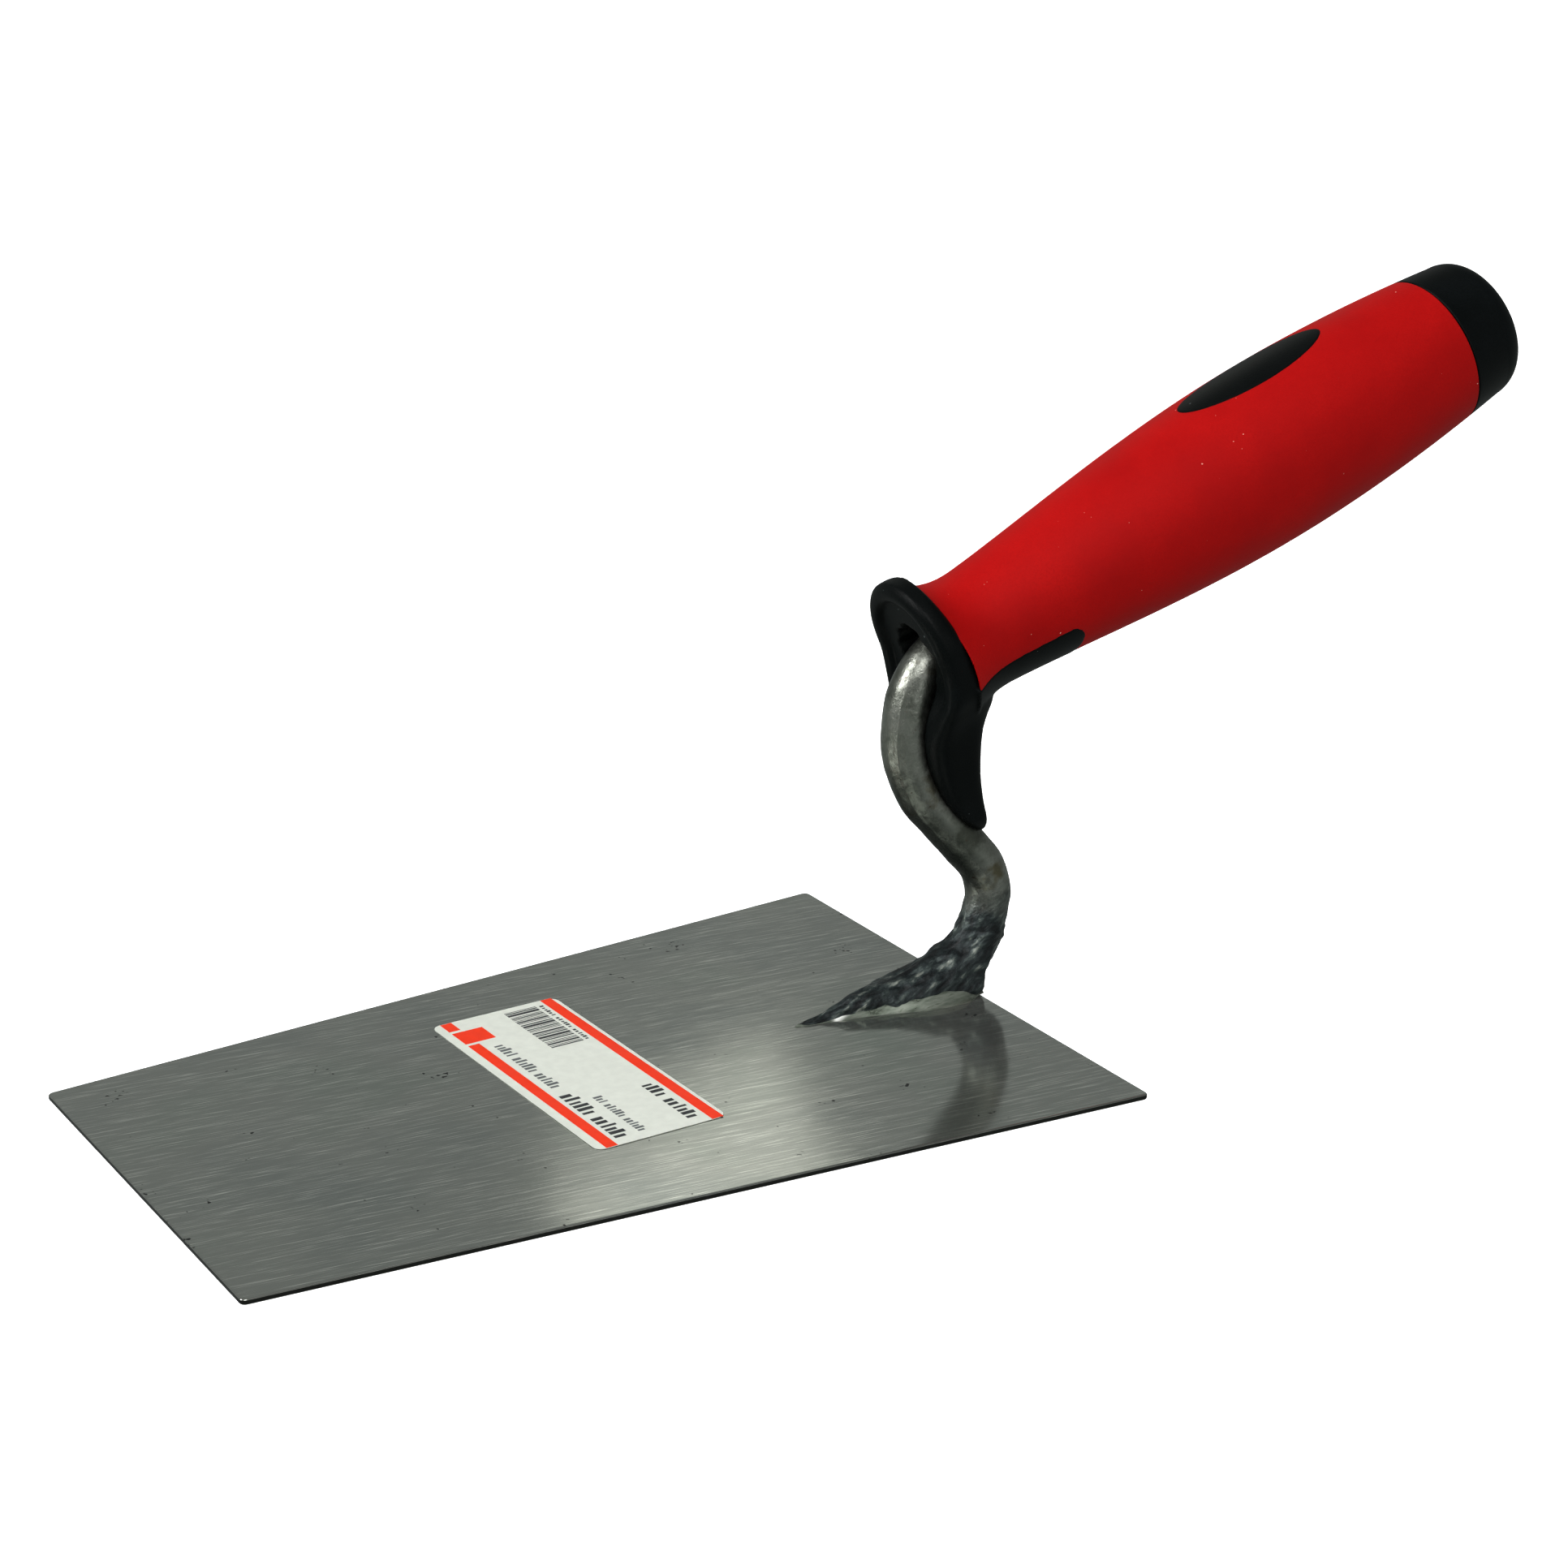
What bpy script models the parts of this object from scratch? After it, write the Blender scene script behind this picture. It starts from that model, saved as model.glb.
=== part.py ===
"""Bricklayer's trowel with a square-ended tapered blade, a forged S-shaped neck and a two-colour soft handle.

Metres, +Z up. The trowel rests flat on its blade: +X runs from the blade's toe to the handle's butt, the
blade's underside is z = 0, and the X-Z plane is the plane of symmetry. The origin is the middle of the
blade's underside. Sizes below are in millimetres.
"""

import math

import bmesh
import bpy
import numpy as np

MM = 0.001
TOUCH_GAP = 0.3

BLADE_LENGTH = 160.0
HEEL_WIDTH = 113.0
TOE_WIDTH = 88.0
BLADE_THICKNESS = 1.0
CORNER_RADIUS = 1.0

LABEL_LENGTH = 61.0
LABEL_WIDTH = 25.0
LABEL_THICKNESS = 0.2
LABEL_RADIUS = 2.0
LABEL_TURN_DEG = 1.5
LABEL_CENTRE = (1.3, 4.2)
LABEL_GAP = 0.05

HANDLE_ROOT = (80.0, 68.5)
HANDLE_TILT_DEG = 20.4
GRIP_FRONT = -7.0
GRIP_REAR = 110.6
BUTT_END = 125.0
BUTT_ROUND = 6.0
GRIP_WALL = 2.8
WAIST_AT = 2.0
WAIST_RADIUS = 11.15
SWELL_AT = 72.0
SWELL_RADIUS = 16.55
BUTT_DROP = 3.4
BUTT_DROP_LENGTH = 50.0
FLARE_RISE = 2.0
FLARE_LENGTH = 8.0
OVAL_WIDTH = 0.955
OVAL_HEIGHT = 1.015
OVAL_CENTRE = 71.3
OVAL_HALF_LENGTH = 17.0
OVAL_HALF_WIDTH = 5.7

GUARD_FACE = -12.2
GUARD_DEPTH = 4.9
GUARD_TOP_DEPTH = 2.8
GUARD_HALF_WIDTH = 12.0
GUARD_ARCH_CENTRE = 4.2
FLANGE_SHOULDER = 0.0
FLANGE_FOOT = -14.0
FLANGE_DRAW_IN = 5.5
# Height, front, back and half width of the tongue, from inside the flange to the tip.
TONGUE_STATIONS = (
    (-1.0, -11.6, -7.6, 6.6),
    (-7.0, -15.2, -6.0, 7.8),
    (-12.0, -17.4, -5.6, 8.0),
    (-17.0, -18.1, -6.9, 7.4),
    (-23.0, -17.7, -8.8, 6.6),
    (-28.0, -16.3, -9.7, 6.0),
    (-31.5, -14.4, -9.9, 5.2),
    (-34.0, -12.6, -10.0, 3.8),
    (-35.4, -11.8, -10.4, 1.4),
)
TANG_OPENING = (1.8, 5.3)
STRIP_TOP = -3.5
STRIP_END = 17.2
STRIP_CORNER = 3.5
STRIP_END_CUT = ((1.6, -11.0), (3.5, -24.0))

BAR_RADIUS = 4.2
BAR_BENDS = ((12.3, 249.0), (22.0, 311.0))
BAR_STRAIGHT = 14.5
LOWER_BEND = (13.2, 270.0)
TANG_RADIUS = 3.6
TANG_FRONT = -5.0
TANG_END = 96.0
TANG_BORE = 3.9
SPIGOT_RADIUS = 8.6
SPIGOT_LENGTH = 6.0

FOOT_BASE = BLADE_THICKNESS + TOUCH_GAP
# Ridge point, base point, half width and place of the greatest width, from the bend to the foot's tip.
FOOT_STATIONS = (
    ((79.6, 15.2), (88.2, 13.0), 4.3, 0.0),
    ((78.3, 12.6), (86.2, 8.8), 4.5, -0.2),
    ((76.2, 10.8), (83.4, 5.6), 4.8, -0.5),
    ((73.4, 9.4), (80.8, 2.9), 5.1, -0.75),
    ((69.8, 8.1), (79.0, FOOT_BASE), 5.3, -0.88),
    ((65.0, 6.6), (71.5, FOOT_BASE), 4.9, -0.9),
    ((60.0, 5.4), (64.0, FOOT_BASE), 3.7, -0.9),
    ((55.0, 4.4), (57.5, FOOT_BASE), 2.3, -0.88),
    ((50.5, 3.2), (52.0, FOOT_BASE), 1.4, -0.85),
    ((46.8, 2.2), (47.4, FOOT_BASE), 0.9, -0.8),
    ((44.8, 1.6), (45.0, FOOT_BASE), 0.5, -0.8),
)

# The foot's outline on the blade, from its heel round one flank to its tip, and the bead's size at each point.
WELD_PATH = ((79.0, 5.3), (71.5, 4.9), (64.0, 3.7), (57.5, 2.3), (52.0, 1.4), (47.4, 0.9), (44.6, 0.0))
WELD_SIZES = (1.0, 1.0, 0.9, 0.75, 0.55, 0.4, 0.4)
WELD_CLEARANCE = 0.6
WELD_WIDTH = 1.6
WELD_HEIGHT = 2.4

WINDOW_REACH = 25.0
ROUND_STEPS = 40


def clear_scene():
    for old in list(bpy.data.objects):
        bpy.data.objects.remove(old, do_unlink=True)


def material(name, colour, roughness, metallic=0.0):
    made = bpy.data.materials.new(name)
    made.use_nodes = True
    shader = made.node_tree.nodes["Principled BSDF"]
    shader.inputs["Base Color"].default_value = (*colour, 1.0)
    shader.inputs["Roughness"].default_value = roughness
    shader.inputs["Metallic"].default_value = metallic
    return made


def add_mesh(name, points, faces, made_of=None, parent=None):
    """One object from points in millimetres, shaded smooth with its true edges left sharp."""
    mesh = bpy.data.meshes.new(name)
    mesh.from_pydata((np.asarray(points, float) * MM).tolist(), [], faces)
    shape = bmesh.new()
    shape.from_mesh(mesh)
    bmesh.ops.recalc_face_normals(shape, faces=shape.faces)
    shape.to_mesh(mesh)
    shape.free()
    mesh.shade_smooth()
    mesh.set_sharp_from_angle(angle=math.radians(35.0))
    thing = bpy.data.objects.new(name, mesh)
    bpy.context.scene.collection.objects.link(thing)
    thing.parent = parent
    if made_of:
        mesh.materials.append(made_of)
    return thing


def make_cutter(thing):
    thing.hide_render = True
    thing.display_type = "WIRE"
    return thing


def boolean(thing, other, operation):
    step = thing.modifiers.new(operation.title(), "BOOLEAN")
    step.operation = operation
    step.solver = "EXACT"
    step.object = other


def loft(rings):
    """Points and faces of a closed solid through equal rings, with a flat cap on the first and the last."""
    rings = np.asarray(rings, float)
    count, around = rings.shape[:2]
    faces = []
    for i in range(count - 1):
        for j in range(around):
            k = (j + 1) % around
            faces.append((i * around + j, i * around + k, (i + 1) * around + k, (i + 1) * around + j))
    faces.append(tuple(range(around)))
    faces.append(tuple((count - 1) * around + j for j in reversed(range(around))))
    return rings.reshape(-1, 3), faces


def closed_loft(rings):
    """Points and faces of a ring-shaped solid: the last ring joins the first."""
    rings = np.asarray(rings, float)
    count, around = rings.shape[:2]
    faces = []
    for i in range(count):
        for j in range(around):
            k, n = (j + 1) % around, (i + 1) % count
            faces.append((i * around + j, i * around + k, n * around + k, n * around + j))
    return rings.reshape(-1, 3), faces


def prism(outline, low, high, axis):
    """A flat outline of (a, b) pairs carried from low to high along the given axis."""
    outline = np.asarray(outline, float)
    rings = []
    for level in (low, high):
        rings.append(np.insert(outline, axis, level, axis=1))
    return loft(rings)


def arc(centre, radius, start_deg, end_deg, steps):
    turn = np.radians(np.linspace(start_deg, end_deg, steps + 1))
    return [(centre[0] + radius * math.cos(a), centre[1] + radius * math.sin(a)) for a in turn]


# Blade and label ----------------------------------------------------------------------------------


def blade_outline():
    """The tapered blade seen from above, with its four corners just rounded."""
    half_length, heel, toe = BLADE_LENGTH / 2, HEEL_WIDTH / 2, TOE_WIDTH / 2
    slope = math.degrees(math.atan2(heel - toe, BLADE_LENGTH))
    r = CORNER_RADIUS
    heel_in = r * math.tan(math.radians(45 + slope / 2))
    toe_in = r * math.tan(math.radians(45 - slope / 2))
    outline = arc((half_length - r, -heel + heel_in), r, -90 - slope, 0, 4)
    outline += arc((half_length - r, heel - heel_in), r, 0, 90 + slope, 4)
    outline += arc((-half_length + r, toe - toe_in), r, 90 + slope, 180, 4)
    outline += arc((-half_length + r, -toe + toe_in), r, 180, 270 - slope, 4)
    return outline


def make_blade(steel):
    points, faces = prism(blade_outline(), 0.0, BLADE_THICKNESS, 2)
    return add_mesh("blade", points, faces, steel)


def make_label(paper):
    a, b, r = LABEL_WIDTH / 2 - LABEL_RADIUS, LABEL_LENGTH / 2 - LABEL_RADIUS, LABEL_RADIUS
    outline = arc((a, -b), r, -90, 0, 5) + arc((a, b), r, 0, 90, 5)
    outline += arc((-a, b), r, 90, 180, 5) + arc((-a, -b), r, 180, 270, 5)
    base = BLADE_THICKNESS + LABEL_GAP
    points, faces = prism(outline, base, base + LABEL_THICKNESS, 2)
    label = add_mesh("size_label", points, faces, paper)
    label.location = (LABEL_CENTRE[0] * MM, LABEL_CENTRE[1] * MM, 0.0)
    label.rotation_euler = (0.0, 0.0, math.radians(LABEL_TURN_DEG))
    return label


# Neck: tang, S-shaped bar and forged foot ---------------------------------------------------------


def along_handle(s):
    """A point of the handle's axis in the X-Z plane."""
    tilt = math.radians(HANDLE_TILT_DEG)
    return np.array([HANDLE_ROOT[0] + s * math.cos(tilt), HANDLE_ROOT[1] + s * math.sin(tilt)])


def bar_stations():
    """(centre, heading, radius) down the bar: the tang inside the handle, then bend, straight and bend."""
    heading = 180.0 + HANDLE_TILT_DEG
    centre = along_handle(TANG_FRONT)
    stations = [(along_handle(TANG_END), heading, TANG_RADIUS - 0.8)]
    stations.append((along_handle(TANG_END - 2.0), heading, TANG_RADIUS))
    stations.append((along_handle(TANG_FRONT + 7.0), heading, TANG_RADIUS))
    stations.append((centre, heading, TANG_RADIUS + 0.2))

    def bend(radius, end, steps):
        nonlocal centre, heading
        turn = math.copysign(1.0, end - heading)
        for k in range(steps):
            a, b = math.radians(heading), math.radians(heading + (end - heading) / (steps - k))
            centre = centre + turn * radius * np.array([math.sin(b) - math.sin(a), math.cos(a) - math.cos(b)])
            heading = math.degrees(b)
            stations.append((centre, heading, BAR_RADIUS))

    for radius, end in BAR_BENDS:
        bend(radius, end, 7)
    down = np.array([math.cos(math.radians(heading)), math.sin(math.radians(heading))])
    centre = centre + BAR_STRAIGHT * down
    stations.append((centre, heading, BAR_RADIUS))
    bend(LOWER_BEND[0], LOWER_BEND[1], 4)
    return stations


def foot_section(inner, outer, half_width, widest, around):
    """A closed section between a ridge and a base point of the X-Z plane, bulging half_width to each side.

    widest is where the section is broadest: 0 halfway between the two points, -1 at the base point.
    """
    inner, outer = np.asarray(inner, float), np.asarray(outer, float)
    turn = np.linspace(0.0, 2.0 * math.pi, around, endpoint=False)
    level = np.cos(turn)
    lift = np.where(level > 0, widest + (1 - widest) * level, widest + (1 + widest) * level)
    side = half_width * np.sin(turn)
    middle, reach = (inner + outer) / 2, (inner - outer) / 2
    return np.stack([middle[0] + lift * reach[0], side, middle[1] + lift * reach[1]], axis=1)


def bar_rings(stations, around):
    """Round sections square to the bar, each starting on the inside of the lower bend."""
    rings = []
    for centre, heading, radius in stations:
        a = math.radians(heading)
        across = np.array([math.sin(a), -math.cos(a)]) * radius
        rings.append(foot_section(centre + across, centre - across, radius, 0.0, around))
    return rings


def make_neck(steel):
    around = 24
    rings = bar_rings(bar_stations(), around)
    for inner, outer, half_width, widest in FOOT_STATIONS:
        rings.append(foot_section(inner, outer, half_width, widest, around))
    points, faces = loft(rings)
    return add_mesh("neck_forging", points, faces, steel)


def make_weld(steel):
    """The bead along both flanks of the foot and round its tip: a quarter-round section on a U path."""
    path = np.array(WELD_PATH)
    near = path[:-1] * (1, -1)
    path = np.vstack([path, near[::-1]])
    sizes = WELD_SIZES + WELD_SIZES[-2::-1]
    ahead = np.gradient(path, axis=0)
    ahead /= np.linalg.norm(ahead, axis=1)[:, None]
    outward = np.stack([ahead[:, 1], -ahead[:, 0]], axis=1)
    outward *= np.sign(np.sum(outward * (path - (66.0, 0.0)), axis=1))[:, None]
    section = [(0.0, 0.0)] + arc((0.0, 0.0), 1.0, 0, 90, 5)
    rings = []
    for point, out, size in zip(path, outward, sizes):
        ring = []
        for reach, lift in section:
            place = point + out * (WELD_CLEARANCE + reach * size * WELD_WIDTH)
            ring.append((*place, FOOT_BASE + lift * size * WELD_HEIGHT))
        rings.append(ring)
    points, faces = loft(rings)
    return add_mesh("foot_weld", points, faces, steel)


# Handle, in the frame of its own axis: x along it, y to the side, z up ----------------------------


def grip_radius(s):
    """The handle's mean outer radius: a flare to the guard, a waist, a long swell and a slimmer butt."""
    s = np.asarray(s, float)
    climbed = np.clip((s - WAIST_AT) / (SWELL_AT - WAIST_AT), 0.0, 1.0)
    rise = WAIST_RADIUS + (SWELL_RADIUS - WAIST_RADIUS) * np.sin(np.pi / 2 * climbed) ** 1.2
    fall = SWELL_RADIUS - BUTT_DROP * (np.clip(s - SWELL_AT, 0.0, None) / BUTT_DROP_LENGTH) ** 1.9
    flare = FLARE_RISE * (np.clip(1.0 - s, 0.0, None) / FLARE_LENGTH) ** 2
    return np.where(s < SWELL_AT, rise, fall) + flare


def oval_ring(s, radius, around=ROUND_STEPS):
    turn = np.linspace(0.0, 2.0 * math.pi, around, endpoint=False)
    return np.stack(
        [np.full(around, s), radius * OVAL_WIDTH * np.cos(turn), radius * OVAL_HEIGHT * np.sin(turn)], axis=1
    )


def sleeve(front, rear, wall, steps):
    """A tube that follows the handle's outer shape, wall thick."""
    outside = [oval_ring(s, grip_radius(s)) for s in np.linspace(front, rear, steps)]
    inside = [oval_ring(s, grip_radius(s) - wall) for s in np.linspace(rear, front, steps)]
    return closed_loft(outside + inside)


def ellipse(centre, half_length, half_width, steps=32):
    turn = np.linspace(0.0, 2.0 * math.pi, steps, endpoint=False)
    return [(centre + half_length * math.cos(a), half_width * math.sin(a)) for a in turn]


def strip_outline(grow):
    """Side view of the strip under the grip: a straight top edge, a round corner and a back-cut end."""
    top, end, start = STRIP_TOP + grow, STRIP_END + grow, GUARD_FACE + 1.0
    outline = [(start, top)]
    outline += arc((end - STRIP_CORNER, top - STRIP_CORNER), STRIP_CORNER, 90, 0, 5)
    outline += [(end - cut, v) for cut, v in STRIP_END_CUT]
    outline.append((start, outline[-1][1]))
    return outline


def make_grip(parent, red):
    points, faces = sleeve(GRIP_FRONT, GRIP_REAR, GRIP_WALL, 24)
    grip = add_mesh("grip_shell", points, faces, red, parent)
    oval = prism(ellipse(OVAL_CENTRE, OVAL_HALF_LENGTH, OVAL_HALF_WIDTH), 5.0, 30.0, 2)
    window = make_cutter(add_mesh("palm_window", *oval, None, parent))
    strip = prism(strip_outline(TOUCH_GAP), -WINDOW_REACH, WINDOW_REACH, 1)
    slot = make_cutter(add_mesh("strip_window", *strip, None, parent))
    boolean(grip, window, "DIFFERENCE")
    boolean(grip, slot, "DIFFERENCE")
    return grip


def make_palm_inlay(parent, black):
    reach = OVAL_HALF_LENGTH + 3.0
    points, faces = sleeve(OVAL_CENTRE - reach, OVAL_CENTRE + reach, GRIP_WALL, 12)
    inlay = add_mesh("palm_inlay", points, faces, black, parent)
    inside = ellipse(OVAL_CENTRE, OVAL_HALF_LENGTH - TOUCH_GAP, OVAL_HALF_WIDTH - TOUCH_GAP)
    keep = make_cutter(add_mesh("palm_inlay_outline", *prism(inside, 5.0, 30.0, 2), None, parent))
    boolean(inlay, keep, "INTERSECT")
    return inlay


def upright_loft(levels, front, back, half_width):
    """A block lofted down the heights in levels, each section a rounded rectangle from front to back."""
    turn = np.linspace(0.0, 2.0 * math.pi, 28, endpoint=False)
    c, s = np.cos(turn), np.sin(turn)
    rings = []
    for v, low, high, half in zip(levels, front, back, half_width):
        x = (low + high) / 2 + (high - low) / 2 * np.sign(c) * np.abs(c) ** 0.5
        y = half * np.sign(s) * np.abs(s) ** 0.5
        rings.append(np.stack([x, y, np.full_like(x, v)], axis=1))
    return loft(rings)


def make_flange(name, black, parent):
    """The shield-shaped plate against the hand: a round arch over sides that draw in towards the tongue."""
    arch_turn = np.linspace(0.12, math.pi / 2, 8)
    sides = np.linspace(GUARD_ARCH_CENTRE, FLANGE_FOOT, 8)[1:]
    levels = np.concatenate([GUARD_ARCH_CENTRE + GUARD_HALF_WIDTH * np.cos(arch_turn), sides])
    drawn = np.clip((FLANGE_SHOULDER - sides) / (FLANGE_SHOULDER - FLANGE_FOOT), 0.0, 1.0) ** 1.5
    half = np.concatenate([GUARD_HALF_WIDTH * np.sin(arch_turn), GUARD_HALF_WIDTH - FLANGE_DRAW_IN * drawn])
    front = np.full_like(levels, GUARD_FACE)
    risen = np.clip((levels - GUARD_ARCH_CENTRE) / GUARD_HALF_WIDTH, 0.0, 1.0) ** 2
    depth = GUARD_DEPTH + (GUARD_TOP_DEPTH - GUARD_DEPTH) * risen
    return add_mesh(name, *upright_loft(levels, front, front + depth, half), black, parent)


def make_tongue(name, parent):
    """The block behind the bar that keeps fingers off it, with its round tip and its full side walls."""
    stations = np.array(TONGUE_STATIONS)
    levels = np.concatenate([np.linspace(stations[0, 0], stations[-2, 0], 14), stations[-1:, 0]])
    order = np.argsort(stations[:, 0])
    front, back, half = (np.interp(levels, stations[order, 0], stations[order, k]) for k in (1, 2, 3))
    return make_cutter(add_mesh(name, *upright_loft(levels, front, back, half), None, parent))


def make_guard(parent, black):
    """Flange, tongue and the strip under the grip in one, less the tang's opening and the bar's groove."""
    guard = make_flange("finger_guard", black, parent)
    boolean(guard, make_tongue("guard_tongue", parent), "UNION")

    pad_points, pad_faces = sleeve(GUARD_FACE + 1.5, STRIP_END + 3.0, GRIP_WALL, 10)
    pad = make_cutter(add_mesh("guard_strip", pad_points, pad_faces, None, parent))
    region_points, region_faces = prism(strip_outline(0.0), -WINDOW_REACH, WINDOW_REACH, 1)
    region = make_cutter(add_mesh("guard_strip_outline", region_points, region_faces, None, parent))
    boolean(pad, region, "INTERSECT")
    boolean(guard, pad, "UNION")

    height, radius = TANG_OPENING
    hole = [(y, height + z) for y, z in arc((0.0, 0.0), radius, 0, 360, 24)[:-1]]
    opening_points, opening_faces = prism(hole, GUARD_FACE - 5.0, GUARD_FACE + 15.0, 0)
    opening = make_cutter(add_mesh("tang_opening", opening_points, opening_faces, None, parent))
    boolean(guard, opening, "DIFFERENCE")

    rings = bar_rings([(c, h, BAR_RADIUS + TOUCH_GAP) for c, h, r in bar_stations()[3:]], 24)
    groove = make_cutter(add_mesh("bar_groove", *loft(rings)))
    boolean(guard, groove, "DIFFERENCE")
    return guard


def make_core(parent, plastic):
    """The stiff inner tube: it grips the tang, carries the soft grip and ends in the butt cap's spigot."""
    front = TANG_FRONT + TOUCH_GAP
    rear = GRIP_REAR - 0.2
    outside = []
    for s in np.linspace(front, rear, 18):
        outside.append(oval_ring(s, grip_radius(max(s, 2.0)) - GRIP_WALL - TOUCH_GAP, 32))
    outside.append(oval_ring(rear, SPIGOT_RADIUS, 32))
    outside.append(oval_ring(rear + SPIGOT_LENGTH, SPIGOT_RADIUS, 32))
    points, faces = loft(outside)
    core = add_mesh("handle_core", points, faces, plastic, parent)
    bore_rings = [oval_ring(s, TANG_BORE / OVAL_WIDTH, 24) for s in (front - 5.0, TANG_END + 2.0)]
    bore = make_cutter(add_mesh("tang_bore", *loft(bore_rings), None, parent))
    boolean(core, bore, "DIFFERENCE")
    return core


def make_butt_cap(parent, black):
    """The cup that closes the handle: it follows the grip's outline and rounds over to a flat-domed end."""
    front = GRIP_REAR + TOUCH_GAP
    shoulder = BUTT_END - BUTT_ROUND
    rings = [oval_ring(s, grip_radius(s)) for s in np.linspace(front, shoulder, 5)]
    edge = float(grip_radius(shoulder))
    for a in np.radians(np.linspace(12.0, 84.0, 8)):
        rings.append(oval_ring(shoulder + BUTT_ROUND * math.sin(a), edge * math.cos(a) ** 0.45))
    points, faces = loft(rings)
    cap = add_mesh("butt_cap", points, faces, black, parent)
    socket_rings = [
        oval_ring(front - 5.0, SPIGOT_RADIUS + TOUCH_GAP, 32),
        oval_ring(GRIP_REAR + SPIGOT_LENGTH + TOUCH_GAP, SPIGOT_RADIUS + TOUCH_GAP, 32),
    ]
    socket = make_cutter(add_mesh("butt_socket", *loft(socket_rings), None, parent))
    boolean(cap, socket, "DIFFERENCE")
    return cap


clear_scene()

blade_steel = material("ground carbon steel", (0.30, 0.31, 0.30), 0.38, 1.0)
forged_steel = material("forged steel", (0.16, 0.16, 0.14), 0.45, 1.0)
weld_steel = material("ground weld metal", (0.42, 0.42, 0.38), 0.35, 1.0)
label_paper = material("printed film label", (0.85, 0.85, 0.83), 0.5)
red_rubber = material("red soft grip", (0.45, 0.010, 0.012), 0.55)
black_rubber = material("black soft grip", (0.012, 0.014, 0.016), 0.6)
black_plastic = material("black polypropylene", (0.02, 0.02, 0.02), 0.5)

make_blade(blade_steel)
make_label(label_paper)
make_neck(forged_steel)
make_weld(weld_steel)

axis = bpy.data.objects.new("handle_axis", None)
bpy.context.scene.collection.objects.link(axis)
axis.location = (HANDLE_ROOT[0] * MM, 0.0, HANDLE_ROOT[1] * MM)
axis.rotation_euler = (0.0, -math.radians(HANDLE_TILT_DEG), 0.0)

make_grip(axis, red_rubber)
make_palm_inlay(axis, black_rubber)
make_guard(axis, black_rubber)
make_core(axis, black_plastic)
make_butt_cap(axis, black_rubber)
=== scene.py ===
"""Bricklayer's trowel: ground steel blade, forged S-shaped neck and a red and black soft handle."""

import math

import bpy
import numpy as np
from mathutils import Matrix, Vector


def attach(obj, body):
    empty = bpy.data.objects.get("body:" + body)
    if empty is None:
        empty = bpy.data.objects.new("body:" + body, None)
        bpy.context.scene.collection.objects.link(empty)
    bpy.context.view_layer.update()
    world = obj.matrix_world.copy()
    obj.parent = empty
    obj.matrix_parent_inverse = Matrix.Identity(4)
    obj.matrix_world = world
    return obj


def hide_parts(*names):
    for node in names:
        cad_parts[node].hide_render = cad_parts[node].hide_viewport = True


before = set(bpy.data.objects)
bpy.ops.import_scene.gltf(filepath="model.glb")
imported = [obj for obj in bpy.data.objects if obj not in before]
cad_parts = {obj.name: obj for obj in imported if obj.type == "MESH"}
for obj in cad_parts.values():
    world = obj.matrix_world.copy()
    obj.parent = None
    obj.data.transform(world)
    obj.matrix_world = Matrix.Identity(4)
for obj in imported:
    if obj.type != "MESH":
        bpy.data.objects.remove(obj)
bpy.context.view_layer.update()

# ------------------------------------------------------------
# Camera: a long lens looking down on the tool from in front of its near side.
LENS_MM, SENSOR_MM = 76.0, 36.0
VIEW_AZIMUTH, VIEW_ELEVATION, VIEW_ROLL = math.radians(-30.61), math.radians(19.22), math.radians(-0.61)
VIEW_TARGET = Vector((0.1095, 0.1146, 0.001))
VIEW_DISTANCE = 0.7169

back = Vector(
    (
        math.sin(VIEW_AZIMUTH) * math.cos(VIEW_ELEVATION),
        -math.cos(VIEW_AZIMUTH) * math.cos(VIEW_ELEVATION),
        math.sin(VIEW_ELEVATION),
    )
)
level = Vector((math.cos(VIEW_AZIMUTH), math.sin(VIEW_AZIMUTH), 0.0))
upright = back.cross(level)
right = math.cos(VIEW_ROLL) * level + math.sin(VIEW_ROLL) * upright
up = math.cos(VIEW_ROLL) * upright - math.sin(VIEW_ROLL) * level
camera = bpy.data.objects.new("camera", bpy.data.cameras.new("camera"))
camera.data.lens = LENS_MM
camera.data.sensor_width = SENSOR_MM
camera.data.clip_start = 0.01
facing_tool = Matrix((right, up, back)).transposed().to_4x4()
camera.matrix_world = Matrix.Translation(VIEW_TARGET + VIEW_DISTANCE * back) @ facing_tool
bpy.context.scene.collection.objects.link(camera)
bpy.context.scene.camera = camera
bpy.context.scene.view_settings.view_transform = "Standard"

# ------------------------------------------------------------
# Studio: a white table and a white screen that only the camera sees, a grey board that throws light up from
# below, and a grey room. A big key light from the front left, a low fill, a ceiling light and one at the toe
# shape the handle, and what stands low behind the tool is there for the blade to mirror.
MM = 0.001
TABLE_REACH = 20.0
SCREEN_SIDES, SCREEN_RADIUS, SCREEN_FOOT, SCREEN_HEIGHT = 48, 18.0, -0.1, 18.0
BOARD_REACH, BOARD_DROP, BOARD_GLOW = 3.0, 0.002, 0.32


def linear(hex_colour):
    """An sRGB hex colour as linear red, green, blue and alpha 1."""
    parts = np.array([int(hex_colour[i : i + 2], 16) for i in (1, 3, 5)]) / 255.0
    curve = np.where(parts <= 0.04045, parts / 12.92, ((parts + 0.055) / 1.055) ** 2.4)
    return (*curve.tolist(), 1.0)


def new_material(name, colour, roughness, metallic=0.0):
    """A Principled material with its uniform values on its own sockets; returns it and its shader."""
    made = bpy.data.materials.new(name)
    made.use_nodes = True
    shader = made.node_tree.nodes["Principled BSDF"]
    shader.inputs["Base Color"].default_value = linear(colour)
    shader.inputs["Roughness"].default_value = roughness
    shader.inputs["Metallic"].default_value = metallic
    return made, shader


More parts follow.
